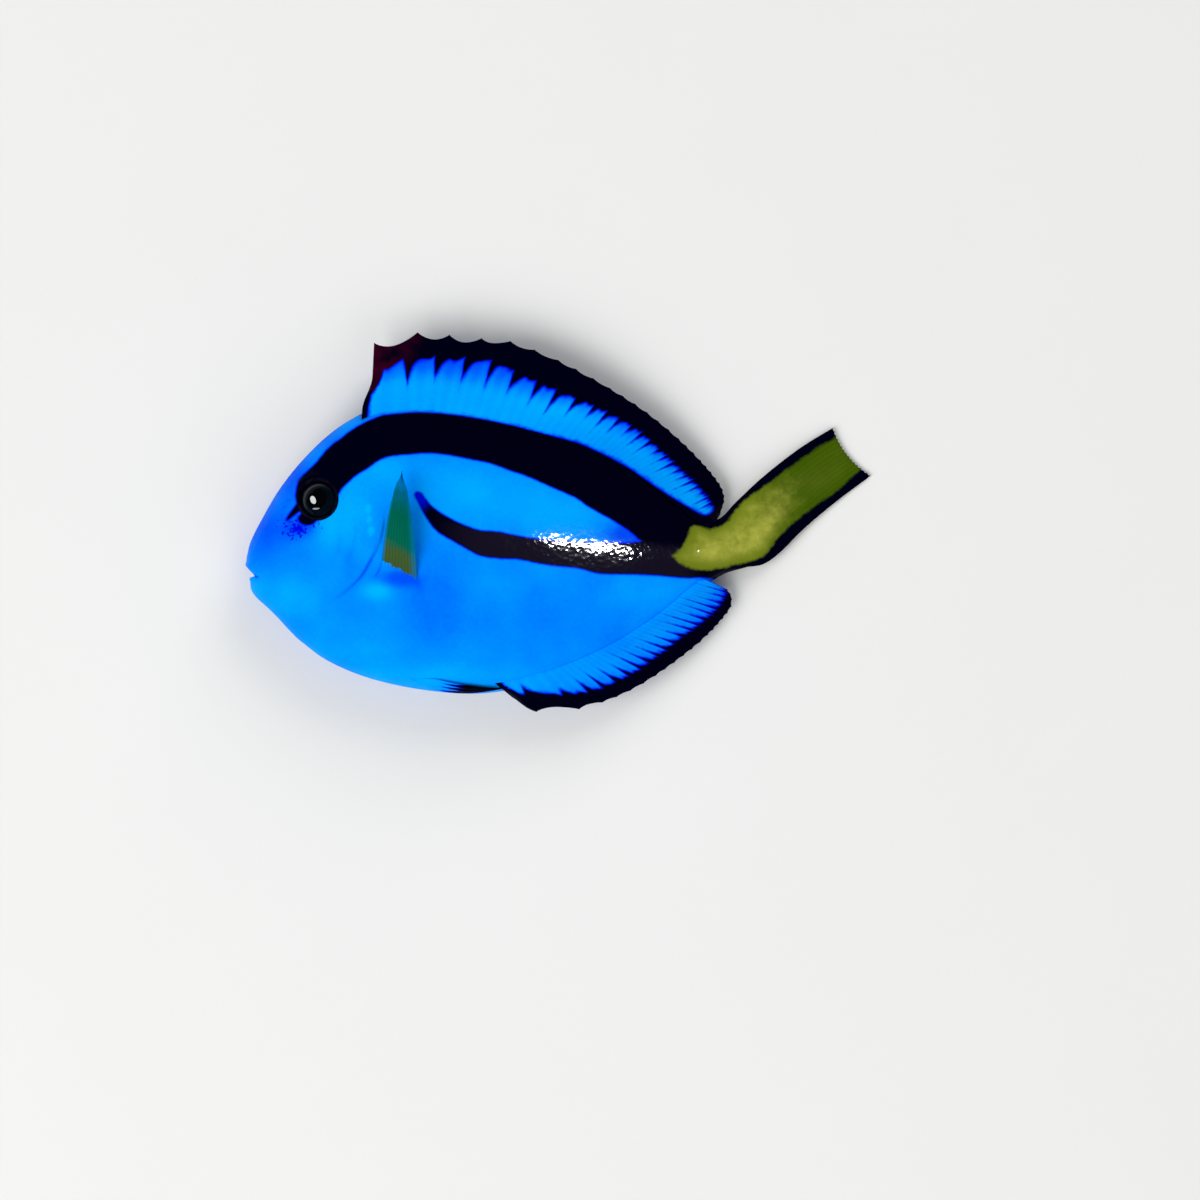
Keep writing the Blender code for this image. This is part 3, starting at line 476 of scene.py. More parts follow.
class TangColours(bpy.types.PropertyGroup):
    """Colours of the fish and of its stage."""

    deep: colour("Deep azure", "Blue of the forehead and the deeper patches", (0, 70, 234))
    light: colour("Light azure", "Blue of the cheek and the lighter patches", (0, 167, 255))
    halo: colour("Halo blue", "Deep blue along the edge of the dark pattern", (0, 8, 215))
    ink: colour("Ink", "Near black of the band and the fin margins", (1, 1, 18))
    stripe: colour("Stripe brown", "Brownish black of the stripe along the flank", (19, 15, 30))
    yellow: colour("Tail yellow", "Lighter yellow in the middle of the tail", (196, 194, 84))
    olive: colour("Tail olive", "Greener yellow towards the tail's edges", (104, 118, 24))
    # Dark green at the tail fin's end: painted shade over its own greener yellow.
    tail_end_green_and_shade: colour("Tail green", "Green towards the end of the tail fin", (46, 74, 0))
    green: colour("Pectoral green", "Green of the pectoral blade", (0, 93, 72))
    moss: colour("Pectoral moss", "Yellowish green near the pectoral's base", (60, 84, 40))
    teal: colour("Pectoral teal", "Bluish green of the pectoral's tip and edges", (0, 106, 150))
    vein: colour("Pectoral rays", "Dark green of the pectoral's rays", (0, 72, 60))
    wine: colour("Fin front", "Dark red brown of the dorsal fin's first membrane", (46, 2, 24))
    pupil: colour("Pupil", "Black of the eye", (2, 3, 5))
    iris: colour("Iris", "Dark ring round the pupil", (3, 14, 26))
    floor: colour("Floor", "Pale floor under the fish", (226, 226, 223))


def shape_of(context):
    """The sizes, in millimetres, by name."""
    shape = context.scene.tang_shape
    return {name: getattr(shape, name) / MM for name in TangShape.__annotations__}


def through(values, u):
    """Smooth curve through the values, one at each whole number of u.

    Between two values it is the cubic that has at each the slope between its neighbours.
    """
    values = np.asarray(values, float)
    u = np.clip(np.asarray(u, float), 0.0, len(values) - 1.0)
    left = np.minimum(u.astype(int), len(values) - 2)
    f = (u - left).reshape(u.shape + (1,) * (values.ndim - 1))
    slope = np.gradient(values, axis=0)
    return (values[left] * (1 + 2 * f) * (1 - f) ** 2 + slope[left] * f * (1 - f) ** 2
            + values[left + 1] * f ** 2 * (3 - 2 * f) - slope[left + 1] * f ** 2 * (1 - f))


def along(points, fraction, samples=400):
    """Point at each fraction of the length of the smooth curve through the points."""
    curve = through(points, np.linspace(0, len(points) - 1, samples))
    steps = np.linalg.norm(np.diff(curve, axis=0), axis=1)
    length = np.concatenate(([0.0], np.cumsum(steps)))
    wanted = np.asarray(fraction) * length[-1]
    return np.stack([np.interp(wanted, length, curve[:, axis]) for axis in (0, 1)], axis=-1)


def blend(first, second, share):
    """Straight mix of two values or points: first * (1 - share) + second * share."""
    return first * (1 - share) + second * share


def ease(value):
    """Smooth step: 3 v^2 - 2 v^3 of the value kept between 0 and 1."""
    value = np.clip(value, 0.0, 1.0)
    return value * value * (3 - 2 * value)


def window(value, limits, edge):
    """1 inside the limits, falling smoothly to 0 over the edge outside them."""
    low, high = limits
    return ease((value - low) / edge + 1) * ease((high - value) / edge + 1)


def bell(distance, width):
    """Bell curve: exp(-(distance / width) ^ 2)."""
    return np.exp(-(distance / width) ** 2)


def form(distance, sizes):
    """Height of a bell-shaped ridge or furrow from its greatest height and its width."""
    height, width = sizes
    return height * bell(distance, width)


def opening(v, sizes):
    """Growth over v: amount * smooth step, from the place where it starts over its run."""
    amount, start, run = sizes
    return amount * ease((v - start) / run)


def patch(x, y, centre_x, centre_y, reach_x, reach_y):
    """Soft elliptic patch: the product of a bell curve along x and one along y."""
    return np.exp(-((x - centre_x) / reach_x) ** 2 - ((y - centre_y) / reach_y) ** 2)


def segment_distance(x, y, start, end):
    """Distance from (x, y) to the segment, and how far along it the nearest point lies."""
    dx, dy = end[0] - start[0], end[1] - start[1]
    f = np.clip(((x - start[0]) * dx + (y - start[1]) * dy) / (dx * dx + dy * dy), 0, 1)
    return np.hypot(x - start[0] - f * dx, y - start[1] - f * dy), f


def line_distance(x, y, points, pieces=6):
    """Distance to the smooth line through the points, and how far along it, from 0 to 1."""
    line = through(points, np.linspace(0, len(points) - 1, pieces * len(points)))
    nearest, place = np.full(x.shape, np.inf), np.zeros(x.shape)
    for index, (start, end) in enumerate(zip(line[:-1], line[1:])):
        distance, f = segment_distance(x, y, start, end)
        closer = distance < nearest
        nearest = np.where(closer, distance, nearest)
        place = np.where(closer, (index + f) / (len(line) - 1), place)
    return nearest, place


def inside_distance(x, y, points, pieces=4):
    """Distance to a closed outline: above 0 inside it and below 0 outside it.

    A point is inside where a ray towards +x crosses the outline an odd number of times.
    """
    line = through(points, np.linspace(0, len(points) - 1, pieces * len(points)))
    line = np.concatenate((line, line[:1]))
    nearest, inside = np.full(x.shape, np.inf), np.zeros(x.shape, bool)
    for start, end in zip(line[:-1], line[1:]):
        distance, _ = segment_distance(x, y, start, end)
        nearest = np.minimum(nearest, distance)
        spans = (start[1] > y) != (end[1] > y)
        rise = end[1] - start[1] if end[1] != start[1] else 1e-9
        inside ^= spans & (x < start[0] + (y - start[1]) * (end[0] - start[0]) / rise)
    return np.where(inside, nearest, -nearest)


def middle_height(x):
    """Height of the fish's middle plane above the floor."""
    sunk = ease((x - SINK_START) / (SINK_END - SINK_START))
    return MIDDLE_HEIGHT + (TAIL_END_HEIGHT - MIDDLE_HEIGHT) * sunk


def side_point(u, t):
    """Point in side view on section u, from belly (t = -1) to back (t = 1).

    It runs straight from the belly point to the back point, and bows by bow * (1 - t^2).
    """
    back, belly, bow = through(BACK_LINE, u), through(BELLY_LINE, u), through(BOWS, u)
    share = (1 + t) / 2
    x = belly[..., 0] + (back[..., 0] - belly[..., 0]) * share + bow * (1 - t * t)
    y = belly[..., 1] + (back[..., 1] - belly[..., 1]) * share
    return x, y


def lens(t):
    """Thickness of a section at the place t, as a share of its greatest."""
    return (1 - np.abs(t) ** LENS_POWER) ** LENS_EDGE


def half_width(u, t, x, y, side, gill_step):
    """Half thickness of the body: its lens, less the step behind the gill cover, plus the
    folded tail spine, and on the right side less the bed of the pectoral fin."""
    half = through(HALF_WIDTHS, u) * lens(t)
    half = half * (1 - STALK_THINNING * ease((u - STALK_THIN_START) / STALK_THIN_RUN))
    edge = ease(half / THIN)
    covered = window(t, GILL_REACH, GILL_SOFTNESS)
    behind = np.where(u > GILL_EDGE, np.exp(-(u - GILL_EDGE) * GILL_DECAY), 0.0)
    half = half - gill_step * covered * behind * edge
    distance, f = segment_distance(x, y, SPINE_TIP, SPINE_ROOT)
    half = half + SPINE_RISE * bell(distance, SPINE_WIDTH * (0.4 + 0.6 * f)) * edge
    if side < 0:
        distance, f = segment_distance(x, y, BED_ROOT, BED_TIP)
        bed = ease((blend(*BED_RADIUS, f) - distance) / BED_EDGE + 1)
        half = half - np.maximum(half - (MIDDLE_HEIGHT - BED_ROOF), 0) * bed
    return half


def skin_point(u, t, side, gill_step=GILL_STEP):
    """Point of the skin on the left (side 1) or right (side -1) flank: the middle plane's
    height plus or minus the half width, and never under the floor."""
    x, y = side_point(u, t)
    z = middle_height(x) + side * half_width(u, t, x, y, side, gill_step)
    return np.stack([x, y, np.maximum(z, 0.0)], axis=-1)


def skin_normal(u, t, side):
    """Outward unit normal of the skin, across small steps of u and t."""
    step = 0.01
    lengthwise = skin_point(u + step, t, side) - skin_point(u - step, t, side)
    upward = skin_point(u, t + step, side) - skin_point(u, t - step, side)
    normal = np.cross(lengthwise, upward) * side
    return normal / np.linalg.norm(normal, axis=-1, keepdims=True)


def skin_place(x, y):
    """Section u and place t of a point in side view, closed in on step by step."""
    x, y = np.broadcast_arrays(np.asarray(x, float), np.asarray(y, float))
    u, t = np.full(x.shape, SEARCH_START), np.zeros(x.shape)
    for _ in range(SEARCH_STEPS):
        px, _ = side_point(u, t)
        u = np.clip(u + (x - px) / SEARCH_RUN, SEARCH_FIRST, STALK_END)
        _, low = side_point(u, -1.0)
        _, high = side_point(u, 1.0)
        t = np.clip(2 * (y - low) / (high - low) - 1, -SEARCH_EDGE, SEARCH_EDGE)
    return u, t


def skin_axes(x, y, side):
    """Point of the skin at (x, y), and three unit directions there: across, up and outward."""
    u, t = skin_place(x, y)
    outward = skin_normal(u, t, side)
    across = np.cross((0.0, 1.0, 0.0), outward)
    across /= np.linalg.norm(across)
    return skin_point(u, t, side), across, np.cross(outward, across), outward


def relief(x, y, lip_rise):
    """Height of the skin's small forms along its outward normal, in side view.

    Lips are two low ridges beside the mouth's line; the gill edge, folds and the groove before
    the eye are bell-shaped furrows; the eye has a raised lid line and a sunk seat; the base of
    the pectoral fin is a low mound.
    """
    distance, f = segment_distance(x, y, MOUTH_FRONT, MOUTH_INNER)
    height = lip_rise * bell(distance - LIPS[0], LIPS[1]) * (1 - INWARD_FADING * f)
    height -= form(distance, MOUTH_FURROW) * (1 - INWARD_FADING * f)
    distance, f = line_distance(x, y, GILL_LINE)
    height -= form(distance, GILL_FURROW) * ease(f * 6) * ease((1 - f) * 3)
    for line, furrow, _ in FOLDS:
        distance, f = line_distance(x, y, line)
        height -= form(distance, furrow) * np.sin(np.pi * f)
    distance, f = line_distance(x, y, EYE_GROOVE)
    height -= form(distance, GROOVE_FURROW) * (1 - INWARD_FADING * f)
    distance = np.hypot(x - EYE_CENTRE[0], y - EYE_CENTRE[1])
    depth, wall = SEAT_SINK
    height += form(distance - EYE_LID, LID_RISE) - depth * ease((EYE_SEAT - distance) / wall)
    return height + MOUND_HEIGHT * patch(x, y, *PECTORAL_MOUND)


def furrow_shade(x, y):
    """Painted shade in the skin's furrows and the mouth's slit, and painted shadow behind the
    pectoral fin's base, from 0 to 1.
    """
    distance, f = line_distance(x, y, GILL_LINE)
    dark = form(distance, GILL_SHADE) * ease(f * 3.5) * ease((1 - f) * 1.5)
    for line, _, fold_shade in FOLDS:
        distance, f = line_distance(x, y, line)
        dark = np.maximum(dark, form(distance, fold_shade) * np.sin(np.pi * f))
    distance, _ = segment_distance(x, y, MOUTH_FRONT, MOUTH_INNER)
    dark = np.maximum(dark, form(distance, MOUTH_SHADE))
    # Painted shadow behind the pectoral fin's fleshy base.
    distance, f = segment_distance(x, y, *PECTORAL_SHADOW_LINE)
    return np.maximum(dark, form(distance, PECTORAL_SHADOW) * (1 - f))


def blue_tone(x, y):
    """Lightness of the blue, 0 deep to 1 light: a middle value plus soft elliptic patches."""
    tone = np.full(x.shape, TONE_MIDDLE)
    # A few of the patches are painted highlights.
    for *place, amount in TONE_PATCHES:
        tone += amount * patch(x, y, *place)
    return np.clip(tone, 0.0, 1.0)


def pattern(x, y):
    """Attributes of the side-view pattern, and of the painted shade in the furrows, at each point;
    distances in millimetres.

    The brown of the stripe is a smooth step below its line, times one behind its front limit and
    one before its rear limit.
    """
    centre_x, centre_y, reach_x, reach_y = FLECK_PATCH
    fleck = reach_y * (1 - np.hypot((x - centre_x) / reach_x, (y - centre_y) / reach_y))
    distance, f = line_distance(x, y, EYE_GROOVE)
    groove = GROOVE_HALF_WIDTH * (1 - GROOVE_NARROWING * f) - distance
    tip_distance = np.hypot(x - BAND_FRONT_TIP[0], y - BAND_FRONT_TIP[1])
    below = ease((BROWN_TOP - y - BROWN_FALL * (x - BROWN_X)) / BROWN_SOFTNESS)
    behind = ease((x - BROWN_FRONT[0]) / BROWN_FRONT[1])
    before = ease((BROWN_REAR[0] - x) / BROWN_REAR[1])
    return {
        "ink": np.maximum(inside_distance(x, y, BAND_OUTLINE), np.maximum(fleck, groove)),
        "gold": inside_distance(x, y, YELLOW_OUTLINE),
        # The tone carries painted highlights too.
        "tone": blue_tone(x, y),
        "freckle": patch(x, y, *FRECKLE_PATCH),
        "tip": np.exp(-(tip_distance / TIP_RADIUS) ** 4),
        "stripe": below * behind * before,
        # Painted shade in the furrows and painted shadow behind the pectoral fin's base.
        "crease_shade": furrow_shade(x, y),
    }


def quads(rows, columns, wrap=False):
    """Corner numbers of a grid's faces; with wrap the last column meets the first."""
    i = np.arange(rows - 1)[:, None]
    j = np.arange(columns if wrap else columns - 1)[None]
    after = (j + 1) % columns
    corners = (i * columns + j, (i + 1) * columns + j, (i + 1) * columns + after,
               i * columns + after)
    return np.stack(np.broadcast_arrays(*corners), axis=-1).reshape(-1, 4)


def capped(rows, columns):
    """Faces of a grid closed round its columns, with a fan of faces over its first row and one
    over its last. The hubs of the two fans are the two points after the grid's."""
    ring = np.arange(columns)
    after = np.roll(ring, -1)
    hub, last = np.full(columns, rows * columns), (rows - 1) * columns
    return [quads(rows, columns, wrap=True), np.stack([hub, ring, after], axis=1),
            np.stack([hub + 1, last + after, last + ring], axis=1)]


def turned(axes, out, up, hubs, columns):
    """Points and faces of a profile turned round the outward axis, closed by a hub over each
    end: out * cos(turn) across, out * sin(turn) upward and up outward from the centre."""
    centre, across, upward, outward = axes
    turn = 2 * np.pi * np.arange(columns)[None] / columns
    out, up = out[:, None], up[:, None] + 0 * turn
    grid = (centre + (out * np.cos(turn))[..., None] * across
            + (out * np.sin(turn))[..., None] * upward + up[..., None] * outward)
    ends = centre + np.array(hubs)[:, None] * outward
    return np.concatenate((grid.reshape(-1, 3), ends)), capped(len(out), columns)


def add_piece(name, points, faces, attributes, material, replaced=()):
    """One closed piece from points in millimetres, riding on the body.

    Its faces are turned to point outwards: the volume summed over them must be above 0.
    """
    fan = np.concatenate([np.stack([part[:, 0], part[:, k], part[:, k + 1]], axis=1)
                          for part in faces for k in range(1, part.shape[1] - 1)])
    corners = points[fan]
    volume = np.einsum("ij,ij->", np.cross(corners[:, 0], corners[:, 1]), corners[:, 2])
    if volume < 0:
        faces = [part[:, ::-1] for part in faces]
    mesh = bpy.data.meshes.new(name)
    listed = [face for part in faces for face in part.tolist()]
    mesh.from_pydata((points * MM).tolist(), [], listed)
    for label, values in attributes.items():
        layer = mesh.attributes.new(label, "FLOAT", "POINT")
        layer.data.foreach_set("value", np.asarray(values, np.float32).ravel())
    mesh.shade_smooth()
    mesh.materials.append(material_for(material))
    piece = bpy.data.objects.new(name, mesh)
    bpy.context.scene.collection.objects.link(piece)
    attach(piece, "root")
    if replaced:
        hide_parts(*replaced)


def add_blade(name, middle, offset, attributes, material, replaced):
    """Closed thin piece: one sheet at middle + offset, one at middle - offset, joined by a
    strip round their edge. It is lifted where its lower sheet would go under the floor."""
    columns, rows = middle.shape[:2]
    upper = (middle + offset).reshape(-1, 3)
    lower = (middle - offset).reshape(-1, 3)
    sunk = np.minimum(lower[:, 2], 0.0)
    upper[:, 2] -= sunk
    lower[:, 2] -= sunk
    count = columns * rows
    sheet = quads(columns, rows)
    rim = np.concatenate((np.arange(columns) * rows,
                          (columns - 1) * rows + np.arange(1, rows),
                          np.arange(columns - 2, -1, -1) * rows + rows - 1,
                          np.arange(rows - 2, 0, -1)))
    after = np.roll(rim, -1)
    strip = np.stack([rim, rim + count, after + count, after], axis=1)
    doubled = {label: np.tile(np.broadcast_to(values, (columns, rows)).ravel(), 2)
               for label, values in attributes.items()}
    faces = [sheet[:, ::-1], sheet + count, strip[:, ::-1]]
    add_piece(name, np.concatenate((upper, lower)), faces, doubled, material, (replaced,))


def add_level_blade(name, flat, height, half, attributes, material):
    """Blade of a fin over a grid of points in side view, half thick above and below a height."""
    height = np.broadcast_to(height, flat.shape[:2])
    middle = np.concatenate((flat, height[..., None]), axis=2)
    offset = np.zeros_like(middle)
    offset[..., 2] = half
    add_blade(name + "_blade", middle, offset, attributes, material, name)


def thin_edges(share, v, side, end):
    """Thickness of a blade as a share: 1, and 0.3 at its side edges and its far end."""
    edge = ease(np.minimum(share, 1 - share)[:, None] / side) * ease((1 - v)[None] / end)
    return 0.3 + 0.7 * edge


def across_rays(rays, steps):
    """Places across a fin counted in rays, steps from each to the next, and as shares."""
    places = np.linspace(0, rays - 1, (rays - 1) * steps + 1)
    return places, places / (rays - 1)


def from_ray(places):
    """Distance across a fin to the nearest ray, counted in rays, above 0 behind it."""
    return places - np.round(places)


class Value:
    """A value or colour in a shader's tree. A sum written with it adds a maths node there."""

    def __init__(self, socket):
        """Keep the socket and the tree that it belongs to."""
        self.socket = socket
        self.tree = socket.id_data

    def maths(self, operation, other):
        """Result of a maths node on this value and another one or a number."""
        settings = {"operation": operation}
        node = add_node(self.tree, "ShaderNodeMath", settings, i0=self, i1=other)
        return Value(node.outputs[0])

    def __add__(self, other):
        """Sum of the two."""
        return self.maths("ADD", other)

    def __sub__(self, other):
        """Difference of the two."""
        return self.maths("SUBTRACT", other)

    def __mul__(self, other):
        """Product of the two."""
        return self.maths("MULTIPLY", other)

    def __neg__(self):
        """The value with its sign turned."""
        return self.maths("MULTIPLY", -1.0)


def add_node(tree, kind, settings=None, **inputs):
    """A shader node with its settings. Each input takes a Value, a number or tuple, or the name
    of one of the fish's colours; i0 is the first input, and a name has _ for each space."""
    node = tree.nodes.new(kind)
    for label, setting in (settings or {}).items():
        setattr(node, label, setting)
    for label, value in inputs.items():
        key = int(label[1:]) if label[1:].isdigit() else label.replace("_", " ")
        if isinstance(value, Value):
            tree.links.new(value.socket, node.inputs[key])
            continue
        if isinstance(value, str):
            value = (*getattr(bpy.context.scene.tang_colours, value), 1.0)
        node.inputs[key].default_value = value
    return node


def fade(value, low, high):
    """Smooth step of a value from low to high."""
    node = add_node(value.tree, "ShaderNodeMapRange", {"interpolation_type": "SMOOTHSTEP"},
                    Value=value, From_Min=low, From_Max=high)
    return Value(node.outputs["Result"])


def mix(share, first, second):
    """Mix of two colours."""
    node = add_node(share.tree, "ShaderNodeMix", {"data_type": "RGBA"}, i0=share, i6=first,
                    i7=second)
    return Value(node.outputs[2])


def attribute(tree, name):
    """Value of one of the piece's attributes."""
    return Value(add_node(tree, "ShaderNodeAttribute", {"attribute_name": name}).outputs["Fac"])


def own_place(tree):
    """Place in the piece's own coordinates."""
    return Value(tree.nodes.new("ShaderNodeTexCoord").outputs["Object"])


def noise(tree, scale, detail=2.0, roughness=0.5):
    """Noise on the piece's own coordinates; a scale of 1000 has swells of a millimetre."""
    node = add_node(tree, "ShaderNodeTexNoise", Vector=own_place(tree), Scale=scale,
                    Detail=detail, Roughness=roughness)
    return Value(node.outputs["Fac"])


def azure_pigment_and_glints(tree, tone):
    """Blue pigment and painted highlights: deep to light by its tone, with soft mottling and fine
    grain.
    """
    broad = (noise(tree, 260.0, 3.0) - 0.5) * 0.34
    fine = (noise(tree, 2600.0) - 0.5) * 0.16
    return (mix(fade(tone + broad + fine, -0.1, 1.1), "deep", "light"),)


def tail_pigment_and_shade(tree):
    """Pigment of the tail stalk and the tail fin: olive to yellow with the distance from its
    edge, mottled, darker green towards the fin's end, where painted shade lies over its own
    greener yellow, and streaked along the rays."""
    gold = attribute(tree, "gold")
    mottle = noise(tree, 400.0, 4.0, 0.65) * 1.6 - 0.42
    made = mix(fade(gold, 0.0, 1.7) * mottle, "olive", "yellow")
    reached = attribute(tree, "along") + noise(tree, 900.0, 3.0, 0.65) * 0.45
    # Painted shade at the fin's end, over its own greener yellow.
    made = mix(fade(reached, 0.21, 0.82) * 0.92, made, "tail_end_green_and_shade")
    made = mix(attribute(tree, "ray") * 0.16, made, "olive")
    return made, edged(tree, gold, 0.5, 0.2, 0.3)[0]


def pigment_edge(tree, distance, wobble, softness, halo_width):
    """Edge of a pigment: its full area, and the halo that runs along it outside.

    The distance to the edge is shifted by noise, so that the edge is uneven.
    """
    distance = distance + (noise(tree, 1500.0, 3.0, 0.6) - 0.5) * wobble
    return fade(distance, -softness, softness), fade(distance, -halo_width, 0.0)


def wet_grain(tree):
    """Height of the wet skin's grain: tiny scales under slow swells."""
    scales = add_node(tree, "ShaderNodeTexVoronoi", {"feature": "SMOOTH_F1"},
                      Vector=own_place(tree), Scale=2400.0, Smoothness=0.6)
    return (Value(scales.outputs["Distance"]) * 0.38 + noise(tree, 520.0) * 1.2,)


# Shader groups: builder, inputs with their defaults, and types of the outputs.
GROUPS = {
    "azure_pigment_and_glints": (azure_pigment_and_glints, {"Tone": 0.5}, {"Colour": "NodeSocketColor"}),
    "tail_pigment_and_shade": (tail_pigment_and_shade, {},
                     {"Colour": "NodeSocketColor", "Inside": "NodeSocketFloat"}),
    "pigment_edge": (pigment_edge,
                     {"Distance": 0.0, "Wobble": 0.1, "Softness": 0.05, "Halo Width": 0.35},
                     {"Inside": "NodeSocketFloat", "Halo": "NodeSocketFloat"}),
    "wet_grain": (wet_grain, {}, {"Height": "NodeSocketFloat"}),
}


def place_group(tree, name, **inputs):
    """One use of a shader group: its outputs by name. The group is built on its first use."""
    builder, given, made = GROUPS[name]
    group = bpy.data.node_groups.get(name)
    if group is None:
        group = bpy.data.node_groups.new(name, "ShaderNodeTree")
        for label, default in given.items():
            group.interface.new_socket(
                label, in_out="INPUT", socket_type="NodeSocketFloat").default_value = default
        for label, kind in made.items():
            group.interface.new_socket(label, in_out="OUTPUT", socket_type=kind)
        sockets = group.nodes.new("NodeGroupInput").outputs
        end = group.nodes.new("NodeGroupOutput")
        results = builder(group, *(Value(sockets[label]) for label in given))
        for label, result in zip(made, results):
            group.links.new(result.socket, end.inputs[label])
    node = add_node(tree, "ShaderNodeGroup", {"node_tree": group}, **inputs)
    return {label: Value(node.outputs[label]) for label in made}


def edged(tree, distance, wobble, softness, halo_width):
    """Area inside a pigment's edge, and the halo along it."""
    made = place_group(tree, "pigment_edge", Distance=distance, Wobble=wobble,
                       Softness=softness, Halo_Width=halo_width)
    return made["Inside"], made["Halo"]


def azure(tree):
    """Blue by the piece's own tone."""
    return place_group(tree, "azure_pigment_and_glints", Tone=attribute(tree, "tone"))["Colour"]


def skin_colour(tree):
    """Skin of the body: azure with freckles, painted glints and painted shade in its creases, its
    halo, the dark band and stripe, and the yellow tail."""
    near_eye = attribute(tree, "freckle")
    blue = mix(near_eye * 0.85, azure(tree), "halo")
    dots = noise(tree, 3200.0, 1.0, 0.4) + near_eye.maths("POWER", 0.4) * 0.42
    blue = mix(fade(dots, 0.83, 0.92), blue, "halo")
    # Painted shade in the creases, in deep blue.
    blue = mix(attribute(tree, "crease_shade"), blue, "halo")
    inside, halo = edged(tree, attribute(tree, "ink"), 0.14, 0.04, 0.3)
    dark = mix(attribute(tree, "stripe"), "ink", "stripe")
    dark = mix(attribute(tree, "tip"), dark, "halo")
    tail = place_group(tree, "tail_pigment_and_shade")
    patterned = mix(inside, mix(halo, blue, "halo"), dark)
    return mix(tail["Inside"], patterned, tail["Colour"])


def fin_colour(tree):
    """Dorsal, anal and pelvic fins: azure panels, dark margin and spikes, wine-coloured front."""
    narrowed = attribute(tree, "ink") - 0.05
    inside, halo = edged(tree, narrowed, 0.08, 0.07, 0.3)
    _, smudge = edged(tree, narrowed, 1.1, 0.1, 0.45)
    blue = mix(halo, mix(smudge * 0.6, azure(tree), "halo"), "halo")
    stain = attribute(tree, "wine") * inside * fade(noise(tree, 700.0, 3.0), 0.25, 0.7)
    return mix(stain, mix(inside, blue, "ink"), "wine")


def tail_colour(tree):
    """Tail fin: the same yellow as on its stalk, with dark edges."""
    tail = place_group(tree, "tail_pigment_and_shade")
    return mix(tail["Inside"], "ink", tail["Colour"])


def pectoral_colour(tree):
    """Pectoral fin: blue flesh at its root, moss above that and a green blade with thin edges."""
    placed = attribute(tree, "height") + (noise(tree, 1400.0, 3.0, 0.7) - 0.5) * 0.14
    blade = mix(fade(placed, 0.14, 0.26), "moss", "green")
    thin = fade(placed, 0.5, 0.85).maths("MAXIMUM", attribute(tree, "rear"))
    blade = mix(thin, blade, "teal")
    blade = mix(fade(placed, 0.7, 0.95) * 0.7, blade, "light")
    blade = mix(attribute(tree, "ray") * 0.3, blade, "vein")
    return mix(fade(placed, -0.01, 0.015), azure(tree), blade)


def eye_colour(tree):
    """Eye: black pupil in a dark ring with fine spokes."""
    radius = attribute(tree, "radius")
    ring = fade(radius, 1.02, 1.12) * fade(radius, 1.85, 1.6)
    spokes = fade(noise(tree, 3000.0, 3.0), 0.3, 0.7)
    return mix(ring * (spokes * 0.6 + 0.4), "pupil", "iris")


def lid_colour(tree):
    """Dark skin of the ring round the eye."""
    return mix(fade(noise(tree, 1200.0, 3.0), 0.35, 0.75), "ink", "stripe")


def floor_colour(tree):
    """Pale floor, a little uneven."""
    pale = bpy.context.scene.tang_colours.floor
    darker = (*(value * 0.85 for value in pale), 1.0)
    return mix(noise(tree, 60.0, 4.0) * 0.12, "floor", darker)


# Surfaces: wet skin and fins under a thin coat, the eye under a clear glossy one, matt floor.
WET = {"Roughness": 0.42, "Specular IOR Level": 0.0, "Coat Weight": 0.25,
       "Coat Roughness": 0.045, "Coat IOR": 1.38}
EYE = {"Roughness": 0.5, "Specular IOR Level": 0.0, "Coat Weight": 1.0,
       "Coat Roughness": 0.03, "Coat IOR": 1.35}
MATT = {"Roughness": 0.75}
# Materials: colour, slot, surface and strength of the wet grain.
MATERIALS = {
    "patterned_skin": (skin_colour, "skin", WET, 0.36),
    "ink_edged_fin": (fin_colour, "edged_fin", WET, 0.2),
    "yellow_tail_fin": (tail_colour, "tail_fin", {**WET, "Coat Weight": 0.1}, 0.25),
    "green_pectoral": (pectoral_colour, "pectoral_fin", WET, 0.2),
    "dark_lid": (lid_colour, "skin", WET, 0.2),
    "glossy_eye": (eye_colour, "eye", EYE, 0.0),
    "pale_floor": (floor_colour, None, MATT, 0.0),
}
GRAIN_DEPTH = 0.05


def material_for(name):
    """The named material, made on its first use."""
    if name in bpy.data.materials:
        return bpy.data.materials[name]
    colour_of, _, surface, grain = MATERIALS[name]
    material = bpy.data.materials.new(name)
    material.use_nodes = True
    tree = material.node_tree
    shader = tree.nodes["Principled BSDF"]
    for label, value in surface.items():
        shader.inputs[label].default_value = value
    if grain:
        bump = add_node(tree, "ShaderNodeBump", Strength=grain, Distance=GRAIN_DEPTH * MM,
                        Height=place_group(tree, "wet_grain")["Height"])
        for label in ("Normal", "Coat Normal"):
            tree.links.new(bump.outputs["Normal"], shader.inputs[label])
    tree.links.new(colour_of(tree).socket, shader.inputs["Base Color"])
    return material


def split_ridge(cross, v, spines, places):
    """Ridge across a fin at each ray, 0 to 1: a bell at the ray. Soft rays fork in their outer
    half, into two bells that part with the distance from the root."""
    soft = (places >= spines - 0.5)[:, None]
    part = np.where(soft, opening(v[None], RAY_FORK), 0.0)
    return bell(np.abs(np.abs(cross)[:, None] - part), RIDGE_WIDTH)


def wave(places, sizes):
    """Wave along a fin: amount * sin(rate * place + phase)."""
    amount, rate, phase = sizes
    return amount * np.sin(rate * places + phase)


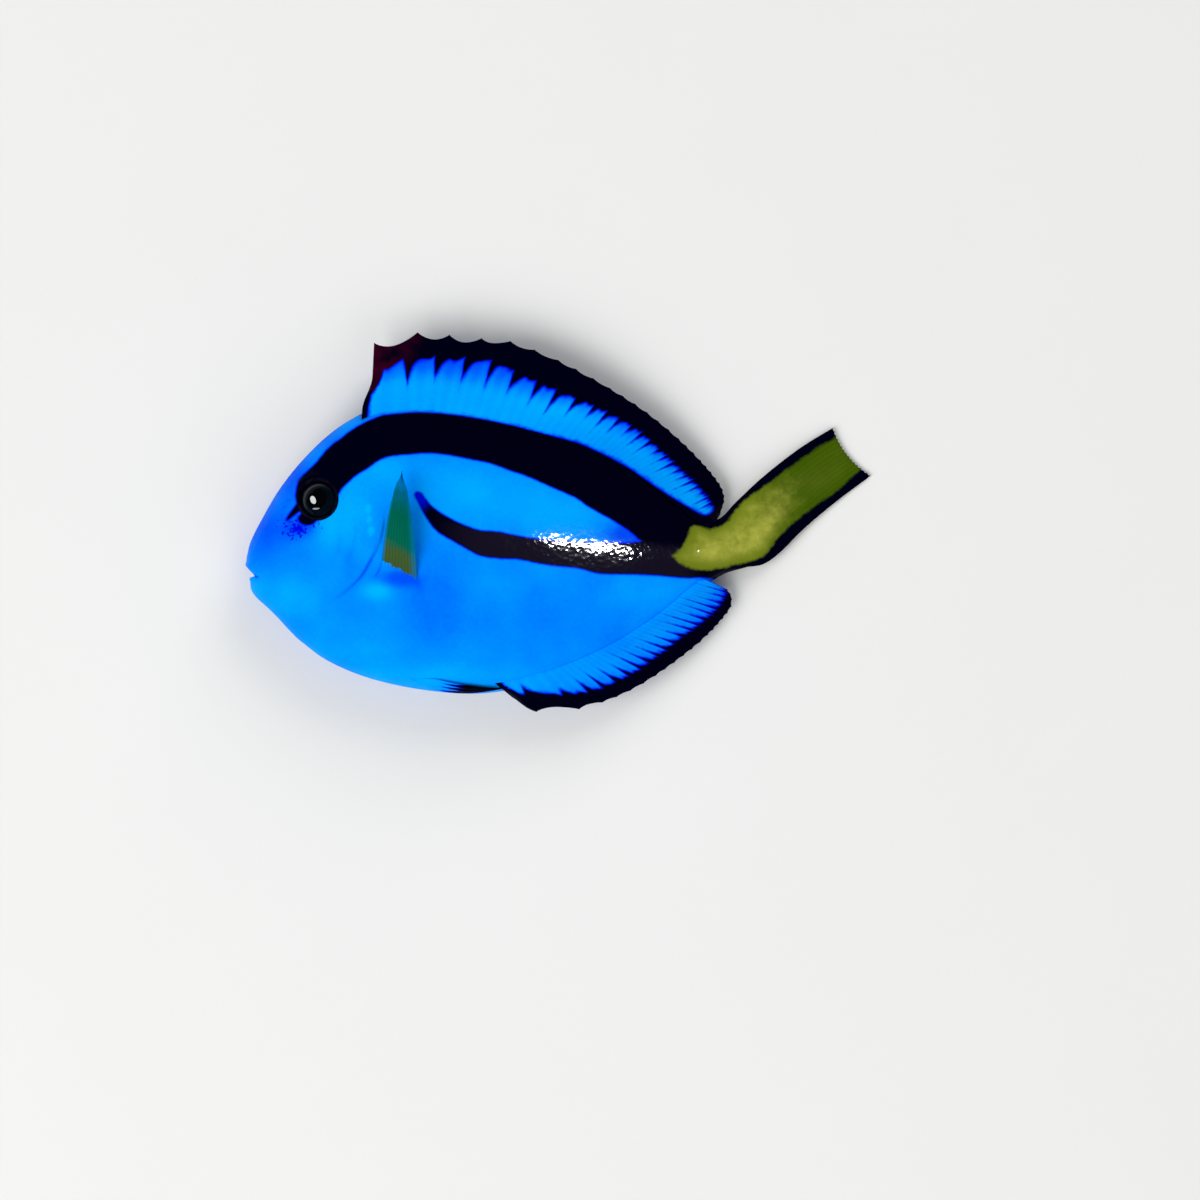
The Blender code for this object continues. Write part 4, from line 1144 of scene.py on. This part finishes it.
def ink_of_spikes(places, last, v, length, border, spike):
    """Distance into the dark border of a fin, above 0 inside it.

    The border's depth below the margin swings between its own depth and the spike's reach. It
    rises steeply just before each ray and falls behind it as (1 - cross / width) ^ power, behind
    the first one as 1 - (cross / width) ^ power, with waves so that no two panels are alike.
    """
    share = places / last
    depth = through(border, share * (len(border) - 1))
    reach = through(spike, share * (len(spike) - 1))
    number = np.floor(places)
    width = SPIKE_WIDTH * (1 + wave(number, WIDTH_WAVE))
    reach = reach + wave(number, REACH_WAVE)
    cross = places % 1.0
    behind = np.clip(1 - cross / width, 0, 1) ** SPIKE_POWER
    first = np.clip(1 - (cross / FIRST_WIDTH) ** FIRST_POWER, 0, 1)
    behind = np.where(number < 1, first, behind)
    before = np.clip((cross - 1 + SPIKE_RISE) / SPIKE_RISE, 0, 1) ** SPIKE_RISE_POWER
    allowed = depth + (reach - depth) * np.maximum(behind, before)
    allowed = allowed + wave(places, BORDER_WAVE)
    return allowed[:, None] - (1 - v)[None] * length[:, None], allowed


def median_fin(name, shape):
    """Fin on the middle plane, from inside the body's outline to its scalloped margin.

    A point is root * (1 - v) + tip * v. The front spines bend back towards their tips, and the
    front edge leans forward at its foot. The margin dips between rays. The blade is thick at
    its root, thins towards the margin, and has a ridge along each spine and ray. The depth into
    the dark border, over sqrt(1 + slope ^ 2), is the distance to the border's edge.
    """
    fin = MEDIAN_FINS[name]
    spines, last = fin["spines"], fin["spines"] + fin["rays"] - 1
    places = np.concatenate((
        np.linspace(0, spines, spines * SPINE_STEPS, endpoint=False),
        np.linspace(spines, last, (last - spines) * RAY_STEPS + 1)))
    path = through(fin["line"], np.linspace(*fin["base"], 80))
    run = np.gradient(path, axis=0)
    run /= np.linalg.norm(run, axis=1, keepdims=True)
    outward = np.stack([-run[:, 1], run[:, 0]], axis=1) * fin["side"]
    numbers, root_shares, tip_shares = np.array(fin["shares"]).T
    root = along(path - outward * ROOT_DEPTH, np.interp(places, numbers, root_shares))
    tip = along(fin["margin"], np.interp(places, numbers, tip_shares))
    reach = tip - root
    length = np.linalg.norm(reach, axis=1)
    reach /= length[:, None]
    cross = from_ray(places)
    dips = np.array(fin["dips"])[np.minimum(places.astype(int), len(fin["dips"]) - 1)]
    dip = np.sin(np.pi * np.abs(cross)) ** DIP_POWER * dips
    tip = tip - reach * dip[:, None]
    length = length - dip
    v = 1 - (1 - np.linspace(0, 1, FIN_ROWS)) ** ROW_CROWDING
    from_root = v[None] * length[:, None]
    flat = blend(root[:, None], tip[:, None], v[None, :, None])
    hook = fin["hook"] * ease(places) * ease((HOOK_LAST - places) / HOOK_FADE)
    flat[..., 0] -= hook[:, None] * (v * (1 - ease((v - HOOK_PEAK) / (1 - HOOK_PEAK))))[None]
    foot = fin["foot"] * ease(1 - places)[:, None]
    flat[..., 0] -= foot * ease(1 - (from_root - ROOT_DEPTH) / FOOT_HEIGHT)
    x, y = flat[..., 0], flat[..., 1]
    sway = SWAY * np.cos(np.pi * places)[:, None] * (v ** SWAY_POWER)[None]
    height = middle_height(x) - DROOP * v ** 2 + sway
    rise = np.where(places < spines - 0.5, shape["spine_rise"], shape["ray_rise"])[:, None]
    ridge = rise * split_ridge(cross, v, spines, places) * (1 - MARGIN_THINNING * v)[None]
    ridge = ridge * ease((from_root - RIDGE_START) / RIDGE_RUN)
    half = shape["membrane"] * (1 - MARGIN_THINNING * v ** 3)
    half = half + form(from_root, ROOT_SWELL) + ridge
    to_margin = (1 - v[None]) * length[:, None]
    rim = blend(RIM_SHARE, 1.0, ease(to_margin / RIM_WIDTH))
    depth, allowed = ink_of_spikes(places, last, v, length, fin["border"], fin["spike"])
    panel = np.hypot(np.gradient(tip[:, 0], places), np.gradient(tip[:, 1], places))
    slope = np.gradient(allowed, places) / np.maximum(panel, LEAST_PANEL)
    ink = depth / np.hypot(1, slope)[:, None]
    least, added, foot_end, foot_run = FRONT_EDGE
    front_edge = least + added * ease((foot_end - from_root) / foot_run)
    front_edge = front_edge - np.hypot(x - x[0][None], y - y[0][None])
    ink = np.maximum(ink, np.maximum(front_edge, inside_distance(x, y, BAND_OUTLINE)))
    pale = form(from_root - fin["strip"], fin["strip_sizes"])
    pale = pale - opening(v[None], fin["deeper"])
    pale = pale - opening(ink, NEAR_INK)
    wine = ease((WINE_END - places) / WINE_RUN)[:, None]
    wine = wine * window(v[None], WINE_LIMITS, WINE_SOFTNESS)
    attributes = {
        "ink": ink,
        "tone": blue_tone(x, y) + pale + form(np.abs(cross) - GLEAM_PLACE, GLEAM)[:, None],
        "wine": fin["wine"] * wine,
    }
    add_level_blade(name, flat, height, half * rim, attributes, "ink_edged_fin")


class TANG_OT_skin(bpy.types.Operator):
    """Skin of the head, trunk and tail stalk as one closed surface"""

    bl_idname = "tang.skin"
    bl_label = "Skin"

    def execute(self, context):
        """The skin is a grid over the sections u and the places t = cos(angle) on both sides.

        Its small forms move each point along the grid's own normal. At the mouth no skin lies
        in front of the line from the upper lip to the notch's inner end and out again.
        """
        shape = shape_of(context)
        stations = np.concatenate([np.linspace(*part) for part in SKIN_STATIONS])
        half = SKIN_PLACES
        u_grid, t_grid = np.meshgrid(stations, np.cos(np.pi * np.arange(half + 1) / half),
                                     indexing="ij")
        left = skin_point(u_grid, t_grid, 1, shape["gill_step"])
        right = skin_point(u_grid, t_grid, -1, shape["gill_step"])[:, half - 1:0:-1]
        grid = np.concatenate((left, right), axis=1)
        lengthwise = np.gradient(grid, axis=0)
        around = np.roll(grid, -1, axis=1) - np.roll(grid, 1, axis=1)
        normal = np.cross(around, lengthwise)
        normal /= np.linalg.norm(normal, axis=2, keepdims=True) + 1e-12
        if normal[len(normal) // 2, half // 2, 2] < 0:
            normal = -normal
        height = relief(grid[..., 0], grid[..., 1], shape["lip_rise"])
        ends = ease((u_grid[:, :1] - 0.02) / 0.25)
        grid = grid + normal * (height * ends)[..., None]
        grid[..., 0] = np.maximum(grid[..., 0], np.interp(grid[..., 1], MOUTH_Y, MOUTH_X))
        grid[..., 2] = np.maximum(grid[..., 2], 0.0)
        points = np.concatenate((grid.reshape(-1, 3), grid[:1].mean(axis=1),
                                 grid[-1:].mean(axis=1)))
        add_piece("skin", points, capped(*grid.shape[:2]), pattern(points[:, 0], points[:, 1]),
                  "patterned_skin", ("head", "trunk", "tail_stalk"))
        return {"FINISHED"}


class TANG_OT_eyes(bpy.types.Operator):
    """Both eyes, each with the dark ring of skin round it"""

    bl_idname = "tang.eyes"
    bl_label = "Eyes"

    def execute(self, context):
        """An eye is a flattened ball: radius * sin(angle) across and depth * cos(angle) deep.

        Its ring is a flattened tube whose middle line runs round the eye on the skin.
        """
        shape = shape_of(context)
        angle = np.linspace(0, np.pi, EYE_ROWS)[1:-1]
        seat = shape["eye_bulge"] - shape["eye_depth"]
        wide = shape["eye_radius"] * np.sin(angle)
        deep = seat + shape["eye_depth"] * np.cos(angle)
        back = np.where(np.cos(angle) > 0, 0.0, BEHIND_EYE)
        radius = np.append(np.repeat(wide + back, EYE_COLUMNS), (0.0, BEHIND_EYE))
        for side, label in SIDES:
            points, faces = turned(
                skin_axes(*EYE_CENTRE, side), wide, deep,
                (seat + shape["eye_depth"], seat - shape["eye_depth"]), EYE_COLUMNS)
            add_piece("eye_ball_" + label, points, faces, {"radius": radius}, "glossy_eye",
                      ("eye_" + label,))
            self.add_ring(label, side, shape["eye_radius"] + RING_GAP)
        return {"FINISHED"}

    def add_ring(self, label, side, radius):
        """Tube round the eye: height over the skin is thickness * sin(roll), reach thickness *
        cos(roll)."""
        turn = 2 * np.pi * np.arange(RING_COLUMNS)[:, None] / RING_COLUMNS
        roll = 2 * np.pi * np.arange(RING_ROWS)[None] / RING_ROWS
        u, t = skin_place(EYE_CENTRE[0] + radius * np.cos(turn[:, 0]),
                          EYE_CENTRE[1] + radius * np.sin(turn[:, 0]))
        line = skin_point(u, t, side)[:, None]
        outward = skin_normal(u, t, side)[:, None]
        away = np.stack([np.cos(turn), np.sin(turn), 0 * turn], axis=-1)
        thick = LID_THICKNESS * (1 + 0.2 * np.sin(3 * turn + 0.7))
        tube = (line + away * (LID_THICKNESS * np.cos(roll))[..., None]
                + outward * (0.02 + thick * np.sin(roll))[..., None])
        faces = quads(RING_COLUMNS + 1, RING_ROWS, wrap=True) % (RING_COLUMNS * RING_ROWS)
        add_piece("eye_ring_" + label, tube.reshape(-1, 3), [faces], {}, "dark_lid")


class TANG_OT_nostrils(bpy.types.Operator):
    """Two small nostrils with raised rims on each side of the snout"""

    bl_idname = "tang.nostrils"
    bl_label = "Nostrils"

    def execute(self, context):
        """Each is a profile turned round its axis: a low rim, and a cup inside it darkened by
        painted shade.
        """
        # Painted shade in the cups, darkest at their middle.
        dark = np.append(np.repeat(bell(NOSTRIL_OUT, 0.1), NOSTRIL_COLUMNS), (0.0, 1.0))
        for side, label in SIDES:
            points, faces = np.empty((0, 3)), []
            for x, y, scale in NOSTRILS:
                cup, parts = turned(
                    skin_axes(x, y, side), scale * NOSTRIL_OUT, scale * NOSTRIL_UP,
                    (NOSTRIL_FOOT, NOSTRIL_CUP * scale), NOSTRIL_COLUMNS)
                faces += [len(points) + part for part in parts]
                points = np.concatenate((points, cup))
            attributes = pattern(points[:, 0], points[:, 1])
            attributes["crease_shade"] = np.tile(dark, len(NOSTRILS))
            add_piece("nostrils_" + label, points, faces, attributes, "patterned_skin")
        return {"FINISHED"}


class TANG_OT_dorsal_fin(bpy.types.Operator):
    """Dorsal fin with nine spines and nineteen soft rays"""

    bl_idname = "tang.dorsal_fin"
    bl_label = "Dorsal Fin"

    def execute(self, context):
        """Build it on the back line."""
        median_fin("dorsal_fin", shape_of(context))
        return {"FINISHED"}


class TANG_OT_anal_fin(bpy.types.Operator):
    """Anal fin with three spines and nineteen soft rays"""

    bl_idname = "tang.anal_fin"
    bl_label = "Anal Fin"

    def execute(self, context):
        """Build it on the belly line."""
        median_fin("anal_fin", shape_of(context))
        return {"FINISHED"}


class TANG_OT_caudal_fin(bpy.types.Operator):
    """Closed tail fin, swept towards the back"""

    bl_idname = "tang.caudal_fin"
    bl_label = "Tail Fin"

    def execute(self, context):
        """A point is upper edge * (1 - share) + lower edge * share at the same v; the end is
        notched by 4 share (1 - share), and each ray is a ridge that forks twice."""
        shape = shape_of(context)
        places, share = across_rays(CAUDAL_RAYS, CAUDAL_STEPS)
        t = 1 - 2 * share
        stations = np.linspace(CAUDAL_START, STALK_END, STALK_ROWS)
        stalk = np.stack(side_point(*np.meshgrid(stations, t)), axis=-1)
        root = stalk[:, -1]
        v = np.linspace(0, 1, CAUDAL_ROWS)
        upper = along(np.concatenate((root[:1], CAUDAL_UPPER)), v)
        lower = along(np.concatenate((root[-1:], CAUDAL_LOWER)), v)
        flat = blend(upper[None], lower[None], share[:, None, None])
        straight = blend(root[0], root[-1], share[:, None])
        flat += (root - straight)[:, None] * (1 - v)[None, :, None] ** 2
        end = lower[-1] - upper[-1]
        inward = np.array([end[1], -end[0]]) / np.linalg.norm(end)
        notch = CAUDAL_NOTCH * 4 * share * (1 - share) + 0.1 * np.abs(np.sin(np.pi * places))
        flat += inward * notch[:, None, None] * (v ** 4)[:, None]
        flat = np.concatenate((stalk[:, :-1], flat), axis=1)
        v = np.concatenate((np.linspace(-0.15, 0, STALK_ROWS)[:-1], v))
        cross = np.abs(from_ray(places))[:, None]
        fork, twig = opening(v[None], CAUDAL_FORK), opening(v[None], CAUDAL_TWIG)
        ray = bell(np.abs(np.abs(cross - fork) - twig), CAUDAL_RAY_WIDTH)
        ray = ray * opening(v, CAUDAL_GROWTH)[None]
        width = through(HALF_WIDTHS, stations) * (1 - 0.12 * ease((16.6 - stations) / 0.35))
        fading = width[-1] * (1 - ease(v[STALK_ROWS - 1:] / CAUDAL_FLESH))
        width = np.concatenate((width[:-1], fading))
        sheet = shape["membrane"] * (1.3 - 0.8 * v) * ease((v + 0.04) / 0.1)
        half = np.hypot(lens(t)[:, None] * width[None], sheet[None])
        half = half + CAUDAL_RAY_RISE * ray * (1 - CAUDAL_RAY_LOSS * v)[None]
        attributes = {"gold": inside_distance(flat[..., 0], flat[..., 1], YELLOW_OUTLINE),
                      "along": np.maximum(v, 0.0), "ray": ray}
        add_level_blade("caudal_fin", flat, middle_height(flat[..., 0]),
                        half * thin_edges(share, v, 0.02, 0.012), attributes, "yellow_tail_fin")
        return {"FINISHED"}


class TANG_OT_pectoral_fins(bpy.types.Operator):
    """Both pectoral fins: the left one raised, the right one folded under the fish"""

    bl_idname = "tang.pectoral_fins"
    bl_label = "Pectoral Fins"

    def execute(self, context):
        """Build the left one over the flank and the right one level on the floor. Each is thick
        at the root, thin at its tip and edges."""
        shape = shape_of(context)
        v = np.linspace(0, 1, PECTORAL_ROWS)
        places, share = across_rays(PECTORAL_RAYS, PECTORAL_STEPS)
        fork = opening(v[None], PECTORAL_FORK)
        ray = bell(np.abs(np.abs(from_ray(places))[:, None] - fork), RIDGE_WIDTH)
        half = shape["membrane"] * (1 - PECTORAL_LOSS * v) + form(v, PECTORAL_SWELL)
        half = half[None] + PECTORAL_RAY_RISE * ray * (1 - PECTORAL_LOSS * v)[None]
        rear = 0.8 * np.maximum(ease((share - 0.74) / 0.24), ease((0.09 - share) / 0.06))
        for label, base, tip in PECTORAL_PLANS:
            flat = self.plan(np.array(base), np.array(tip), share, v)
            x, y = flat[..., 0], flat[..., 1]
            height = PECTORAL_RIGHT_HEIGHT
            if label == "left":
                clear = (PECTORAL_SUNK + PECTORAL_CLEAR) * ease(v / 0.45) - PECTORAL_SUNK
                height = skin_point(*skin_place(x, y), 1)[..., 2] + clear
                height = height + shape["pectoral_lift"] * v ** 1.2
            attributes = {"height": v - 0.05, "ray": ray, "rear": rear[:, None],
                          "tone": blue_tone(x, y)}
            add_level_blade("pectoral_fin_" + label, flat, height,
                            half * thin_edges(share, v, 0.04, 0.02), attributes,
                            "green_pectoral")
        return {"FINISHED"}

    def plan(self, base, tip, share, v):
        """Blade in side view: base * (1 - v) + tip * v, swelling by sin(pi v) in its middle and
        drawn together at its tip."""
        root = blend(base[0], base[1], share[:, None])
        end = blend(tip[0], tip[1], share[:, None])
        flat = blend(root[:, None], end[:, None], v[None, :, None])
        across = (base[1] - base[0]) / np.linalg.norm(base[1] - base[0])
        swell = PECTORAL_BELLY * (share - 0.5)[:, None] * np.sin(np.pi * v)[None]
        flat += across * swell[..., None]
        centre = flat.mean(axis=0, keepdims=True)
        return centre + (flat - centre) * (1 - opening(v, PECTORAL_CLOSING))[None, :, None]


class TANG_OT_pelvic_fins(bpy.types.Operator):
    """Pelvic fins folded back along the belly"""

    bl_idname = "tang.pelvic_fins"
    bl_label = "Pelvic Fins"

    def execute(self, context):
        """A blade lies over the skin between two lines of places t, a little off it along its
        normal; one spine leads and three rays follow."""
        shape = shape_of(context)
        places, share = across_rays(PELVIC_RAYS, PELVIC_STEPS)
        v = np.linspace(0, 1, PELVIC_ROWS)
        u = np.broadcast_to(blend(*PELVIC_SECTIONS, v), (len(places), len(v)))
        inner, outer = blend(*PELVIC_INNER, v), blend(*PELVIC_OUTER, v)
        taper = 1 - 0.8 * (1 - ease(v / 0.3)) - 0.8 * ease((v - 0.6) / 0.4)
        t = (inner + outer) / 2 + (outer - inner) * (share[:, None] - 0.5) * taper
        cross = from_ray(places)
        ridge = shape["ray_rise"] * split_ridge(cross, v, 1, places) * (1 - 0.6 * v)[None]
        half = shape["membrane"] * (1 - 0.4 * v)[None] + ridge
        half = half * thin_edges(share, v, 0.06, 0.03)
        lift = 0.45 * ease(v / 0.45) - 0.12
        dark = (v[None] - 0.55) * 4 + 1.6 * np.abs(cross)[:, None]
        for side, label in SIDES:
            outward = skin_normal(u, t, side)
            middle = skin_point(u, t, side) + outward * lift[None, :, None]
            attributes = {"ink": dark, "tone": blue_tone(middle[..., 0], middle[..., 1]),
                          "wine": 0.0}
            add_blade("pelvic_blade_" + label, middle, outward * half[..., None], attributes,
                      "ink_edged_fin", "pelvic_fin_" + label)
        return {"FINISHED"}


class TANG_OT_stage(bpy.types.Operator):
    """Pale floor, soft studio light and the camera straight above the fish"""

    bl_idname = "tang.stage"
    bl_label = "Stage"

    def execute(self, context):
        """The floor is level up to FLOOR_LEVEL from its middle, and from there rises by
        FLOOR_RISE * (distance - FLOOR_LEVEL) ^ 2, so that no edge of it shows from low down.
        The lens is sensor width * distance / width of the view."""
        line = np.linspace(-FLOOR_REACH, FLOOR_REACH, FLOOR_POINTS)
        x, y = np.meshgrid(line, line, indexing="ij")
        rise = FLOOR_RISE * np.maximum(np.hypot(x, y) - FLOOR_LEVEL, 0.0) ** 2
        mesh = bpy.data.meshes.new("floor")
        points = np.stack([x, y, rise], axis=-1).reshape(-1, 3)
        mesh.from_pydata(points.tolist(), [], quads(FLOOR_POINTS, FLOOR_POINTS).tolist())
        mesh.shade_smooth()
        mesh.materials.append(material_for("pale_floor"))
        floor = bpy.data.objects.new("floor", mesh)
        context.scene.collection.objects.link(floor)
        for name, place, side, power in SOFTBOXES:
            self.add_light(context, name, place, (side, side), power).visible_glossy = False
        for name, place, extent, power, roll, pieces in HIGHLIGHTS:
            lamp = self.add_light(context, name, place, extent, power, roll)
            lamp.data.shape = "ELLIPSE"
            lamp.visible_diffuse = False
            lit = bpy.data.collections.new(name + "_pieces")
            for piece in pieces:
                lit.objects.link(bpy.data.objects[piece])
            lamp.light_linking.receiver_collection = lit
        world = bpy.data.worlds.new("studio")
        world.use_nodes = True
        surround = world.node_tree.nodes["Background"]
        surround.inputs["Color"].default_value = SURROUND_COLOUR
        surround.inputs["Strength"].default_value = SURROUND_STRENGTH
        world.cycles_visibility.glossy = False
        context.scene.world = world
        context.scene.view_settings.view_transform = "Standard"
        camera = bpy.data.objects.new("camera", bpy.data.cameras.new("camera"))
        camera.location = [value * MM for value in (*VIEW_CENTRE, VIEW_DISTANCE)]
        camera.data.sensor_width = SENSOR_WIDTH
        camera.data.lens = SENSOR_WIDTH * (VIEW_DISTANCE - MIDDLE_HEIGHT) / VIEW_WIDTH
        camera.data.clip_start = 0.01
        context.scene.collection.objects.link(camera)
        context.scene.camera = camera
        return {"FINISHED"}

    def add_light(self, context, name, place, extent, power, roll=0.0):
        """Rectangular lamp that faces the fish's middle, its size along x and y."""
        lamp = bpy.data.lights.new(name, "AREA")
        lamp.shape = "RECTANGLE"
        lamp.size, lamp.size_y = extent
        lamp.energy = power
        item = bpy.data.objects.new(name, lamp)
        item.location = place
        aim = -np.array(place)
        item.rotation_mode = "ZXY"
        item.rotation_euler = (math.atan2(aim[1], -aim[2]),
                               -math.atan2(aim[0], math.hypot(aim[1], aim[2])), roll)
        context.scene.collection.objects.link(item)
        return item


class TANG_PT_pieces(bpy.types.Panel):
    """Panel that lists the fish's pieces, sizes and colours"""

    bl_idname = "TANG_PT_pieces"
    bl_label = "Regal Blue Tang"
    bl_space_type = "VIEW_3D"
    bl_region_type = "UI"
    bl_category = "Blue Tang"

    def draw(self, context):
        """One button for each operator, then the properties."""
        for operator in OPERATORS:
            self.layout.operator(operator.bl_idname)
        for group in (context.scene.tang_shape, context.scene.tang_colours):
            column = self.layout.column(align=True)
            for name in type(group).__annotations__:
                column.prop(group, name)


OPERATORS = (
    TANG_OT_skin, TANG_OT_eyes, TANG_OT_nostrils, TANG_OT_dorsal_fin, TANG_OT_anal_fin,
    TANG_OT_caudal_fin, TANG_OT_pectoral_fins, TANG_OT_pelvic_fins, TANG_OT_stage,
)
CLASSES = (TangShape, TangColours, *OPERATORS, TANG_PT_pieces)


def register():
    """Register the classes and the scene's properties."""
    for item in CLASSES:
        bpy.utils.register_class(item)
    bpy.types.Scene.tang_shape = bpy.props.PointerProperty(type=TangShape)
    bpy.types.Scene.tang_colours = bpy.props.PointerProperty(type=TangColours)


def unregister():
    """Take the properties and the classes away again."""
    del bpy.types.Scene.tang_colours
    del bpy.types.Scene.tang_shape
    for item in reversed(CLASSES):
        bpy.utils.unregister_class(item)


def main():
    register()
    bpy.ops.tang.skin()
    bpy.ops.tang.eyes()
    bpy.ops.tang.nostrils()
    bpy.ops.tang.dorsal_fin()
    bpy.ops.tang.anal_fin()
    bpy.ops.tang.caudal_fin()
    bpy.ops.tang.pectoral_fins()
    bpy.ops.tang.pelvic_fins()
    bpy.ops.tang.stage()


if __name__ == "__main__":
    main()
